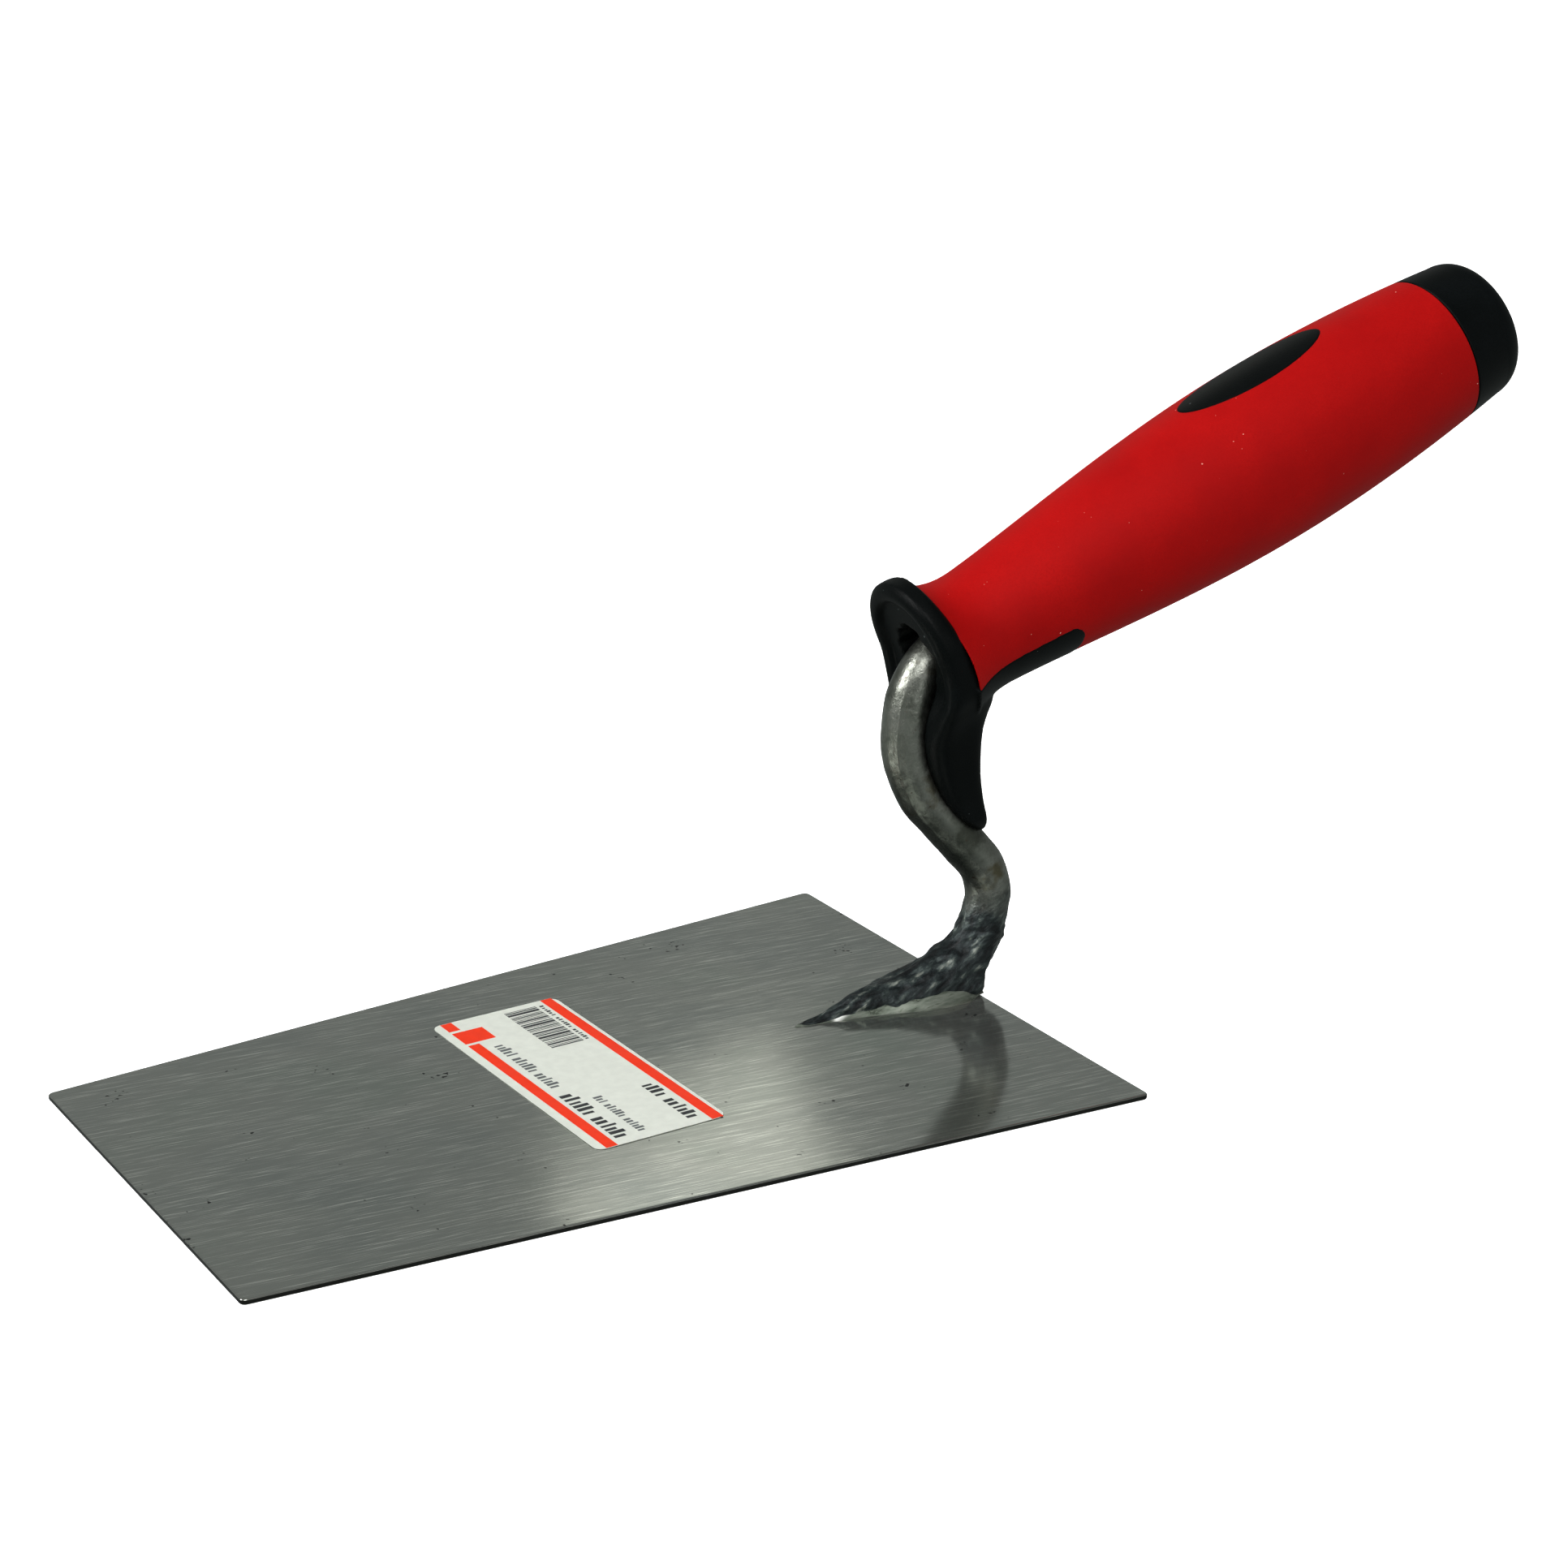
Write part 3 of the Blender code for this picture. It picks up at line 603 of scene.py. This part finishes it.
# The flash is the low ridge that the dies leave down each side of the bar. The tang's own rings stay plain.
FLASH_TURN, FLASH_WIDTH, FLASH_HEIGHT = 0.70, 0.07, 0.16
turn = np.linspace(0.0, 2.0 * np.pi, AROUND, endpoint=False)[None, :]
ring = np.arange(len(neck_rings))[:, None]
flash = 0.0
for side in (1.0, -1.0):
    off = np.angle(np.exp(1j * (turn - side * FLASH_TURN)))
    flash = flash + np.exp(-((off / FLASH_WIDTH) ** 2)) * rise(ring, 10, 26) * (1 - rise(ring, 62, 78))
shown = rise(ring, 6, 14)
neck_rings = swell(neck_rings, shown * (lumps + hammered + FLASH_HEIGHT * flash))
neck_rings[..., 2] = np.maximum(neck_rings[..., 2], base)
neck = face_outwards(closed_skin("neck", neck_rings, 60.0))

# Bare forged steel: mid grey with a tumbled sheen, patches of brown and green tarnish, specks of rust, and
# black scale low on the foot, with streaks of painted highlight along it. Faces that look downwards are painted darker
# as painted shade.
forged, steel = new_material("tumbled forged steel", "#6E706A", 0.4, 1.0)
tree = forged.node_tree
place = add_node(tree, "TexCoord", {}, "Object")
height = add_node(tree, "SeparateXYZ", {"Vector": place}, "Z")
patches = add_node(tree, "TexNoise", {"Vector": place, "Scale": 140.0, "Detail": 4.0, "Roughness": 0.6})
mottle = add_node(tree, "TexNoise", {"Vector": place, "Scale": 750.0, "Detail": 4.0, "Roughness": 0.6})
body = add_node(
    tree, "ValToRGB", {"Fac": patches},
    stops=((0.34, "#52554D"), (0.48, "#7A7D75"), (0.60, "#858780"), (0.72, "#615D4B")),
)
grime = add_node(tree, "MapRange", {"Value": mottle, "From Min": 0.48, "From Max": 0.68, "To Max": 0.3})
grimy = add_node(tree, "Mix", {0: grime, 6: body, 7: linear("#3E4038")}, 2, data_type="RGBA")
spots = add_node(tree, "TexNoise", {"Vector": place, "Scale": 560.0, "Detail": 2.0, "Roughness": 0.6})
rust = add_node(tree, "MapRange", {"Value": spots, "From Min": 0.70, "From Max": 0.76, "To Max": 0.9})
rusty = add_node(tree, "Mix", {0: rust, 6: grimy, 7: linear("#4A2A1E")}, 2, data_type="RGBA")
ragged = add_node(tree, "Math", {0: patches, 1: 0.016, 2: height}, operation="MULTIPLY_ADD")
scaled_over = add_node(
    tree, "MapRange", {"Value": ragged, "From Min": 0.022, "From Max": 0.031, "To Min": 1.0, "To Max": 0.0}
)
along_foot = {"Vector": place, "Rotation": (0.0, math.radians(-30.0), 0.0), "Scale": (0.0040, 0.0013, 0.0013)}
drawn = add_node(tree, "Mapping", along_foot, vector_type="TEXTURE")
flow = add_node(tree, "TexNoise", {"Vector": drawn, "Scale": 1.0, "Detail": 4.0, "Roughness": 0.55})
# Low on the foot: dark scale, whose brightest stop paints highlight streaks drawn out along the foot.
scale_and_painted_glints = add_node(
    tree, "ValToRGB", {"Fac": flow},
    stops=((0.36, "#0C1112"), (0.50, "#1F2728"), (0.60, "#3A4341"), (0.72, "#878C84")),
)
# Faces that look down are painted darker, towards #222826: painted shade from below, not tarnish.
facing = add_node(tree, "NewGeometry", {}, "Normal")
upward = add_node(tree, "SeparateXYZ", {"Vector": facing}, "Z")
underneath = {"Value": upward, "From Min": 0.0, "From Max": -0.5, "To Min": 0.0, "To Max": 0.8}
painted_under_shade = add_node(tree, "MapRange", underneath)
shaded_from_below = add_node(tree, "Mix", {0: painted_under_shade, 6: rusty, 7: linear("#222826")}, 2, data_type="RGBA")
coloured = add_node(tree, "Mix", {0: scaled_over, 6: shaded_from_below, 7: scale_and_painted_glints}, 2, data_type="RGBA")
tree.links.new(coloured, steel.inputs["Base Color"])
tumbled = {"Value": mottle, "From Min": 0.35, "From Max": 0.7, "To Min": 0.28, "To Max": 0.46}
sheen = add_node(tree, "MapRange", tumbled)
duller_below = {"Value": height, "From Min": 0.044, "From Max": 0.060, "To Min": 0.12, "To Max": 0.0}
dull = add_node(tree, "MapRange", duller_below)
gloss = add_node(tree, "Math", {0: sheen, 1: dull}, operation="ADD")
tree.links.new(gloss, steel.inputs["Roughness"])
metal = add_node(tree, "MapRange", {"Value": scaled_over, "To Min": 1.0, "To Max": 0.55})
tree.links.new(metal, steel.inputs["Metallic"])
skin = add_node(tree, "TexNoise", {"Vector": place, "Scale": 2000.0, "Detail": 3.0})
rough_skin = add_node(tree, "Bump", {"Height": skin, "Distance": 0.03 * MM})
rough_skin = add_node(tree, "Bump", {"Height": mottle, "Distance": 0.09 * MM, "Normal": rough_skin})
gullies = add_node(tree, "Math", {0: flow, 1: scaled_over}, operation="MULTIPLY")
rough_skin = add_node(tree, "Bump", {"Height": gullies, "Distance": 0.5 * MM, "Normal": rough_skin})
tree.links.new(rough_skin, steel.inputs["Normal"])
neck.data.materials.append(forged)
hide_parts("neck_forging")
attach(neck, "root")

# ------------------------------------------------------------
# Weld: the bead of mild steel that joins the foot to the blade, run along both flanks and round the tip, then
# ground smooth. Near the tip, a crescent just under its crest is painted white as a highlight.
WELD_REACH, WELD_RISE = 3.0, 3.5
WELD_FIRST, WELD_TIP = 70, 43.9


def weld_rings():
    """A fillet carried along the foot's edge: the section slopes from the foot down to the plate and back.

    Its path starts inside the foot, goes out along one flank, round the tip and back along the other; both the
    width and the height shrink at the heel and towards the tip, and waver a little, as a hand-run bead does.
    """
    rows = stations[WELD_FIRST:]
    line = np.column_stack([rows[:, 2], rows[:, 4] - np.minimum(1.0, 0.45 * rows[:, 4])])
    line = line[line[:, 1] > 0.15]
    path = np.vstack([line, [(WELD_TIP, 0.0)], line[::-1] * (1, -1)])
    ahead = np.gradient(path, axis=0)
    ahead /= np.linalg.norm(ahead, axis=1, keepdims=True)
    outward = np.column_stack([ahead[:, 1], -ahead[:, 0]])
    outward *= np.sign(np.sum(outward * (path - (70.0, 0.0)), axis=1))[:, None]
    heel = 1 - 0.75 * rise(path[:, 0], 76.0, 80.5)
    wave = 1 + 0.06 * np.sin(np.arange(len(path)) * 0.13)
    width = heel * wave * (0.25 + 0.75 * np.clip((path[:, 0] - 47.0) / 22.0, 0.0, 1.0))
    size = heel * wave * (0.12 + 0.88 * rise(path[:, 0], 49.0, 60.0))
    turn = np.linspace(0, 1, 11)
    reach = np.concatenate([turn, [0.6, 0.0]])
    lift = np.concatenate([(1 - turn) ** 1.25, [0.0, 0.0]])
    place = path[:, None, :] + outward[:, None, :] * (reach[None, :, None] * WELD_REACH * width[:, None, None])
    z = PLATE + 0.01 + lift[None, :] * WELD_RISE * size[:, None]
    return np.concatenate([place, z[..., None]], axis=-1)


rings = weld_rings()
weld = face_outwards(closed_skin("foot_weld_bead", rings, 45.0))

# The attribute is 1 where a highlight is painted white, just under the crest near the tip, and 0 elsewhere.
x, z = rings[..., 0].ravel(), rings[..., 2].ravel()
crest = np.repeat(rings[..., 2].max(1), rings.shape[1])
shown = rise(x, 50.0, 51.5) * (1 - rise(x, 56.0, 60.5)) * rise(z - crest, -1.3, -0.5)
painted_highlight = weld.data.attributes.new("painted_highlight", "FLOAT", "POINT")
painted_highlight.data.foreach_set("value", np.append(shown, (0.0, 0.0)).astype(np.float32))

# Ground mild steel: satin, greenish grey with smeared stains along the bead, and a painted highlight, white and not
# metallic, near the tip.
ground_weld, steel = new_material("ground weld steel", "#A9ABA3", 0.33, 1.0)
tree = ground_weld.node_tree
place = add_node(tree, "TexCoord", {}, "Object")
smear = add_node(tree, "Mapping", {"Vector": place, "Scale": (0.006, 0.0012, 0.0012)}, vector_type="TEXTURE")
stain = add_node(tree, "TexNoise", {"Vector": smear, "Scale": 1.0, "Detail": 3.0, "Roughness": 0.6})
tone = add_node(
    tree, "ValToRGB", {"Fac": stain},
    stops=((0.34, "#5A6256"), (0.50, "#7E867A"), (0.64, "#92998D"), (0.76, "#484F42")),
)
# A painted highlight: where the mask is 1, the colour is near white and the metal is turned off.
highlight_mask = add_node(tree, "Attribute", {}, "Fac", attribute_name="painted_highlight")
bright = add_node(tree, "Mix", {0: highlight_mask, 6: tone, 7: linear("#F4F5F0")}, 2, data_type="RGBA")
tree.links.new(bright, steel.inputs["Base Color"])
metal = add_node(tree, "MapRange", {"Value": highlight_mask, "To Min": 0.75, "To Max": 0.0})
tree.links.new(metal, steel.inputs["Metallic"])
stained = {"Value": stain, "From Min": 0.3, "From Max": 0.7, "To Min": 0.24, "To Max": 0.42}
gloss = add_node(tree, "MapRange", stained)
tree.links.new(gloss, steel.inputs["Roughness"])
filed = add_node(tree, "Mapping", {"Vector": place, "Scale": (0.003, 0.0004, 0.0004)}, vector_type="TEXTURE")
marks = add_node(tree, "TexNoise", {"Vector": filed, "Scale": 1.0, "Detail": 2.0})
tree.links.new(add_node(tree, "Bump", {"Height": marks, "Distance": 0.03 * MM}), steel.inputs["Normal"])
weld.data.materials.append(ground_weld)
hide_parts("foot_weld")
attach(weld, "root")

# ------------------------------------------------------------
# Grip: a sleeve of red thermoplastic rubber moulded over the stiff core. It flares to the guard, is waisted for
# the forefinger and thumb, and swells for the palm.
GRIP_FRONT, GRIP_REAR, GRIP_WALL = -7.2, 110.6, 2.8
GRIP_WAIST, GRIP_FULLEST = 2.0, 72.0
OVAL_WIDTH, OVAL_HEIGHT = 0.955, 1.015
LIP = 0.3


def to_world(s, y, v):
    """Handle coordinates (along, aside, above its axis) as X, Y and Z in millimetres."""
    c, k = math.cos(HANDLE_TILT), math.sin(HANDLE_TILT)
    return np.stack(np.broadcast_arrays(HANDLE_ROOT[0] + s * c - v * k, y, HANDLE_ROOT[1] + s * k + v * c), axis=-1)


def grip_radius(s):
    """The handle's mean radius: a sine-shaped rise from the waist, a power-law fall to the butt, and a flare."""
    climb = np.clip((s - GRIP_WAIST) / (GRIP_FULLEST - GRIP_WAIST), 0.0, 1.0)
    rise_part = 11.15 + 5.4 * np.sin(np.pi / 2 * climb) ** 1.2
    fall_part = 16.55 - 3.4 * (np.clip(s - GRIP_FULLEST, 0.0, None) / 50.0) ** 1.9
    flare = 2.0 * (np.clip(1.0 - s, 0.0, None) / 8.0) ** 2.0
    return np.where(s < GRIP_FULLEST, rise_part, fall_part) + flare


def on_grip(s, turn, lift):
    """The point of the handle's outside at s and at turn round its oval section, lift millimetres out from it."""
    radius = grip_radius(s) + lift
    return to_world(s, radius * OVAL_WIDTH * np.cos(turn), radius * OVAL_HEIGHT * np.sin(turn))


def sleeve_rings(front, rear, around):
    """A tube wall: its outside, a rounded lip, its inside back to the front and a second lip."""
    lip = np.radians(np.linspace(0, 90, 6))
    s_out, s_in = np.linspace(0, 1, 230), np.linspace(0.02, 0.98, 12)
    turn = np.linspace(0, 2 * np.pi, around, endpoint=False)
    start = front - 2.1 * np.clip(np.sin(turn), 0, None) ** 2
    start = start[None, :]
    outside = start + LIP + (rear - LIP - start - LIP) * s_out[:, None]
    rear_lip = np.broadcast_to((rear - LIP + LIP * np.sin(lip))[:, None], (len(lip), around))
    inside = rear + (start - rear) * s_in[:, None]
    front_lip = start + LIP - LIP * np.sin(lip[::-1])[:, None]
    s = np.concatenate([outside, rear_lip, inside, front_lip])
    rounded = -LIP * (1 - np.cos(lip))
    lift = np.concatenate([np.zeros(len(s_out)), rounded, np.full(len(s_in), -GRIP_WALL), rounded[::-1]])
    return on_grip(s, turn[None, :], lift[:, None])


rings = sleeve_rings(GRIP_FRONT, GRIP_REAR, 180)
grip = face_outwards(put_mesh("grip", rings.reshape(-1, 3), grid_faces(*rings.shape[:2], close_rows=True), 60.0))


def rubber(name, dark, colour, light, dust, roughness):
    """Thermoplastic rubber from a spark-eroded mould: fine even grain, faint flow clouds and a few dust specks.

    The grain of a real mould is near 0.1 mm; it is drawn 0.3 mm wide so that it shows.
    """
    made, shader = new_material(name, colour, roughness)
    tree = made.node_tree
    place = add_node(tree, "TexCoord", {}, "Object")
    cloud = add_node(tree, "TexNoise", {"Vector": place, "Scale": 60.0, "Detail": 4.0, "Roughness": 0.6})
    tone = add_node(
        tree, "ValToRGB", {"Fac": cloud}, stops=((0.30, dark), (0.50, colour), (0.70, light))
    )
    grain = add_node(tree, "TexNoise", {"Vector": place, "Scale": 3000.0, "Detail": 2.0, "Roughness": 0.6})
    hollows = add_node(tree, "MapRange", {"Value": grain, "From Min": 0.6, "From Max": 0.3, "To Max": 0.7})
    grained = add_node(tree, "Mix", {0: hollows, 6: tone, 7: linear(dark)}, 2, data_type="RGBA")
    speck = add_node(tree, "TexNoise", {"Vector": place, "Scale": 1600.0, "Detail": 0.0})
    lint = add_node(tree, "MapRange", {"Value": speck, "From Min": 0.885, "From Max": 0.90, "To Max": 0.8})
    dusty = add_node(tree, "Mix", {0: lint, 6: grained, 7: linear(dust)}, 2, data_type="RGBA")
    tree.links.new(dusty, shader.inputs["Base Color"])
    clouded = {"Value": cloud, "To Min": roughness - 0.12, "To Max": roughness + 0.12}
    gloss = add_node(tree, "MapRange", clouded)
    tree.links.new(gloss, shader.inputs["Roughness"])
    tree.links.new(add_node(tree, "Bump", {"Height": grain, "Distance": 0.03 * MM}), shader.inputs["Normal"])
    return made, shader


red_rubber, shader = rubber("red soft-touch rubber", "#A00708", "#AA0909", "#B20C0B", "#F0B0A0", 0.62)
shader.inputs["Specular IOR Level"].default_value = 0.08
grip.data.materials.append(red_rubber)
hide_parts("grip_shell")
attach(grip, "root")

# ------------------------------------------------------------
# Palm inlay: a long oval of black thermoplastic rubber let in flush on top of the grip, where the palm lies. It
# is moulded into a recess in the red, and its rim rolls down into the seam.
INLAY_MIDDLE, INLAY_HALF_LENGTH, INLAY_HALF_WIDTH = 71.3, 17.0, 5.7
INLAY_PROUD, INLAY_ROLL, INLAY_ROUND, INLAY_SUNK = 0.10, 0.35, 0.35, 0.9


def inlay_rings():
    """Concentric ellipses over the top of the handle, rolled down at the rim, then back underneath."""
    turn = np.linspace(0, 2 * np.pi, 160, endpoint=False)[None, :]
    size = np.concatenate([np.linspace(0.02, 0.93, 26), np.linspace(0.94, 1.0, 10), np.linspace(1.0, 0.02, 8)])[:, None]
    edge = np.clip((1 - size[:36]) * INLAY_HALF_WIDTH / INLAY_ROUND, 0, 1)
    upper = INLAY_PROUD - INLAY_ROLL * (1 - np.sqrt(1 - (1 - edge) ** 2))
    lift = np.concatenate([upper, np.full((8, 1), -INLAY_SUNK)])
    s = INLAY_MIDDLE + INLAY_HALF_LENGTH * size * np.cos(turn)
    y = INLAY_HALF_WIDTH * size * np.sin(turn)
    radius = grip_radius(s) + lift
    v = radius * OVAL_HEIGHT * np.sqrt(1 - (y / (radius * OVAL_WIDTH)) ** 2)
    return to_world(s, y, v)


black_rubber, shader = rubber("black soft-touch rubber", "#030505", "#050808", "#090D0E", "#6F7778", 0.48)
shader.inputs["Specular IOR Level"].default_value = 0.07
inlay = face_outwards(closed_skin("palm_pad", inlay_rings(), 60.0))
inlay.data.materials.append(black_rubber)
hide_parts("palm_inlay")
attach(inlay, "root")

# ------------------------------------------------------------
# Butt cap: the black end of the handle, thermoplastic rubber moulded over the end of the core. It carries on the
# grip's outline and rounds over to a nearly flat end.
BUTT_END, BUTT_ROUND, BUTT_SEAM, BUTT_NECK = 125.0, 6.0, 0.12, 9.0


def butt_rings():
    """Oval rings from the seam to the shoulder, then round the shoulder on a flattened quarter circle."""
    turn = np.linspace(0, 2 * np.pi, 160, endpoint=False)[None, :]
    lip = np.radians(np.linspace(90, 0, 6))
    front, shoulder = GRIP_REAR + BUTT_SEAM, BUTT_END - BUTT_ROUND
    s_side = np.concatenate([front + LIP * (1 - np.sin(lip)), np.linspace(front + 0.5, shoulder, 22)])
    lift = np.concatenate([-LIP * (1 - np.cos(lip)), np.zeros(22)])
    a = np.radians(np.linspace(4.0, 89.0, 40))
    s = np.concatenate([[front], s_side, shoulder + BUTT_ROUND * np.sin(a)])
    edge = float(grip_radius(np.array(shoulder)))
    radius = np.concatenate([[BUTT_NECK], grip_radius(s_side) + lift, edge * np.cos(a) ** 0.45])[:, None]
    return to_world(s[:, None], radius * OVAL_WIDTH * np.cos(turn), radius * OVAL_HEIGHT * np.sin(turn))


butt = face_outwards(closed_skin("butt", butt_rings(), 60.0))
butt.data.materials.append(black_rubber)
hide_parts("butt_cap")
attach(butt, "root")

# ------------------------------------------------------------
# Finger guard: black soft rubber in one moulding. A shield stands against the hand, with a raised rim round a
# flat face; a tongue runs down behind the bar, hollowed to take it; and a strip runs back under the grip.
SHIELD, SHIELD_CENTRE, TONGUE_TIP, TIP_ROUND = 12.0, 4.2, -35.4, 5.2
RIM_ROUND, FACE_SUNK = 1.9, 1.2
FRONT_SQUARE, SIDE_SQUARE = 0.42, 0.60
BAR_CLEARANCE, HOLE_RADIUS, HOLE_DEPTH = 0.25, 4.6, 3.6
# Height, tongue front, back and half width.
TONGUE = (
    (16.2, -12.2, -9.4, 12.0),
    (4.2, -12.2, -7.3, 12.0),
    (0.0, -12.2, -6.9, 12.0),
    (-4.5, -13.2, -5.8, 11.5),
    (-8.0, -15.4, -4.4, 10.0),
    (-12.0, -17.4, -4.6, 8.4),
    (-17.0, -18.1, -6.7, 7.5),
    (-23.0, -17.7, -8.7, 6.7),
    (-29.0, -15.9, -9.8, 5.9),
    (-33.0, -13.3, -10.1, 5.5),
    (-35.6, -11.9, -10.3, 5.4),
)


def guard_rings():
    """Sections at falling heights: a rounded block from front to back whose half width follows the shield's arch
    and the tongue's round tip. The front is pushed in for the face, the bar's groove and the tang's hole.

    A section is a circle whose cosine and sine are raised to powers below 1, which squares it off.
    """
    arch = SHIELD_CENTRE + SHIELD * np.cos(np.linspace(0.03, np.pi / 2, 34))
    straight = np.linspace(SHIELD_CENTRE, TONGUE_TIP + TIP_ROUND, 96)[1:]
    tip = TONGUE_TIP + TIP_ROUND * (1 - np.sin(np.linspace(0.0, 1.54, 24)))[1:]
    v = np.concatenate([arch, straight, tip])
    table = smooth_through(TONGUE, 400)
    front, back_side, side = (np.interp(v, table[::-1, 0], table[::-1, k]) for k in (1, 2, 3))
    bow = SHIELD * np.sqrt(np.clip(1 - ((v - SHIELD_CENTRE) / SHIELD) ** 2, 0, 1))
    end = np.sqrt(np.clip(1 - (np.clip(TONGUE_TIP + TIP_ROUND - v, 0, None) / TIP_ROUND) ** 2, 0, 1))
    half = np.where(v > SHIELD_CENTRE, bow, side * end)[:, None]
    turn = np.linspace(0, 2 * np.pi, 220, endpoint=False)[None, :]
    c, s = np.cos(turn), np.sin(turn)
    middle, depth = ((front + back_side) / 2)[:, None], ((back_side - front) / 2 * (0.25 + 0.75 * end))[:, None]
    squared = np.sign(c) * np.abs(c) ** FRONT_SQUARE
    x = middle + depth * squared
    y = half * np.sign(s) * np.abs(s) ** SIDE_SQUARE
    v = np.broadcast_to(v[:, None], x.shape)
    ahead, behind = rise(-squared, 0.2, 0.95), rise(squared, 0.2, 0.95)
    rim = np.where(v > SHIELD_CENTRE, SHIELD - np.hypot(y, v - SHIELD_CENTRE), half - np.abs(y))
    bead = RIM_ROUND - np.sqrt(np.clip(RIM_ROUND**2 - (rim - RIM_ROUND) ** 2, 0, None))
    sunk = np.where(rim < RIM_ROUND, bead, np.minimum(bead, FACE_SUNK) * rise(rim, RIM_ROUND, 2 * RIM_ROUND))
    x = x + ahead * rise(v, -9.0, -3.0) * (front[:, None] + sunk - x)
    below = np.hypot(v / OVAL_HEIGHT, y / OVAL_WIDTH) - 11.6
    gusset = 3.2 * np.clip((4.6 - below) / 4.6, 0, 1.05) ** 2.2
    x = x + behind * (rise(-v, 8.0, 11.0) * gusset + 1.2 * rise(v, -9.0, -5.0))
    centre, headings, _ = bar_path()
    along = (centre - HANDLE_ROOT) @ np.array([math.cos(HANDLE_TILT), math.sin(HANDLE_TILT)])
    above = (centre - HANDLE_ROOT) @ np.array([-math.sin(HANDLE_TILT), math.cos(HANDLE_TILT)])
    order = np.argsort(above)
    bar_s = np.interp(v, above[order], along[order])
    slant = np.interp(v, above[order], np.abs(np.sin(headings - HANDLE_TILT))[order])
    clear = BAR_RADIUS + BAR_CLEARANCE
    hollow = bar_s + np.sqrt(np.clip(clear**2 - y**2, 0, None)) / np.clip(slant, 0.55, 1.0)
    inside = rise(clear - np.abs(y), 0.0, 0.5) * rise(-v, 1.0, 3.5)
    x = x + ahead * inside * np.clip(hollow - x, 0, None)
    spot = np.hypot(y, (v - 1.6) * 0.92) + 0.45 * ripple(np.stack([x * 0, y, v], axis=-1), 4.0, 21)
    x = x + ahead * HOLE_DEPTH * (1 - rise(spot, HOLE_RADIUS, HOLE_RADIUS + 0.7))
    return to_world(x, y, v)


STRIP_START, STRIP_END, STRIP_CORNER, STRIP_ROLL = -7.8, 17.2, 3.6, 0.45
STRIP_RADIUS, STRIP_DEPTH = 12.0, 3.5


def strip_rings():
    """The strip under the grip, laid on the handle's outside: rows run back from the guard, columns round the
    underside, and the edges roll down into the red. Its end is square with two round corners."""
    edge_turn = math.asin(3.5 / 11.4)
    across = (1 - np.cos(np.linspace(0, np.pi, 150))) / 2
    turn = -edge_turn - (np.pi - 2 * edge_turn) * across
    arc_in = (np.minimum(across, 1 - across) * (np.pi - 2 * edge_turn)) * STRIP_RADIUS
    corner = STRIP_CORNER * (1 - np.sqrt(1 - (1 - np.clip(arc_in / STRIP_CORNER, 0, 1)) ** 2))
    end = STRIP_END - corner - 1.4 * rise(arc_in, 3.0, 12.0)
    run = np.sin(np.linspace(0, np.pi / 2, 110))[:, None]
    s = STRIP_START + (end[None, :] - STRIP_START) * run
    inset = np.minimum(end[None, :] - s, arc_in[None, :])
    lift = 0.10 - STRIP_ROLL * (1 - np.sqrt(1 - (1 - np.clip(inset / STRIP_ROLL, 0, 1)) ** 2))
    upper = on_grip(s, turn[None, :], lift)
    lower = on_grip(s, turn[None, :], np.full_like(s, -STRIP_DEPTH))
    return np.concatenate([upper, lower[::-1]])


def slab_faces(rows, columns):
    """Faces of a sheet that is folded back under itself: quads along the rows, and the two open sides closed."""
    i, j = np.arange(rows)[:, None], np.arange(columns - 1)[None, :]
    n = (i + 1) % rows
    quads = np.stack([i * columns + j, n * columns + j, n * columns + j + 1, i * columns + j + 1], axis=-1)
    half = rows // 2
    k = np.arange(half - 1)
    sides = []
    for column, flip in ((0, False), (columns - 1, True)):
        a, b = k * columns + column, (k + 1) * columns + column
        c, d = (rows - 2 - k) * columns + column, (rows - 1 - k) * columns + column
        side = np.stack([a, d, c, b], axis=1)
        sides += (side[:, ::-1] if flip else side).tolist()
    return quads.reshape(-1, 4).tolist() + sides


rings = strip_rings()
strip = face_outwards(put_mesh("guard_strip", rings.reshape(-1, 3), slab_faces(*rings.shape[:2]), 60.0))
guard = face_outwards(closed_skin("guard", guard_rings(), 60.0))

# Shield, tongue and strip become one skin, as they are one moulding, with softened corners.
with bpy.context.temp_override(active_object=guard, selected_editable_objects=[guard, strip]):
    bpy.ops.object.join()
fuse = guard.modifiers.new("moulded_in_one", "REMESH")
fuse.mode = "VOXEL"
fuse.voxel_size = 0.30 * MM
fuse.use_smooth_shade = True
soften = guard.modifiers.new("soft_corners", "SMOOTH")
soften.factor = 0.5
soften.iterations = 4
guard.data.materials.clear()
guard.data.materials.append(black_rubber)
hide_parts("finger_guard")
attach(guard, "root")

# ------------------------------------------------------------
# Core: the stiff tube of black polypropylene inside the handle, pressed onto the tang, that the soft rubber is
# moulded over. Only a sliver of it shows, deep in the tang's opening, so it keeps its solid and gets a finish.
core_plastic, _ = rubber("black polypropylene", "#050606", "#08090A", "#0B0C0D", "#404444", 0.45)
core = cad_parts["handle_core"]
for slot in core.material_slots:
    slot.material = core_plastic
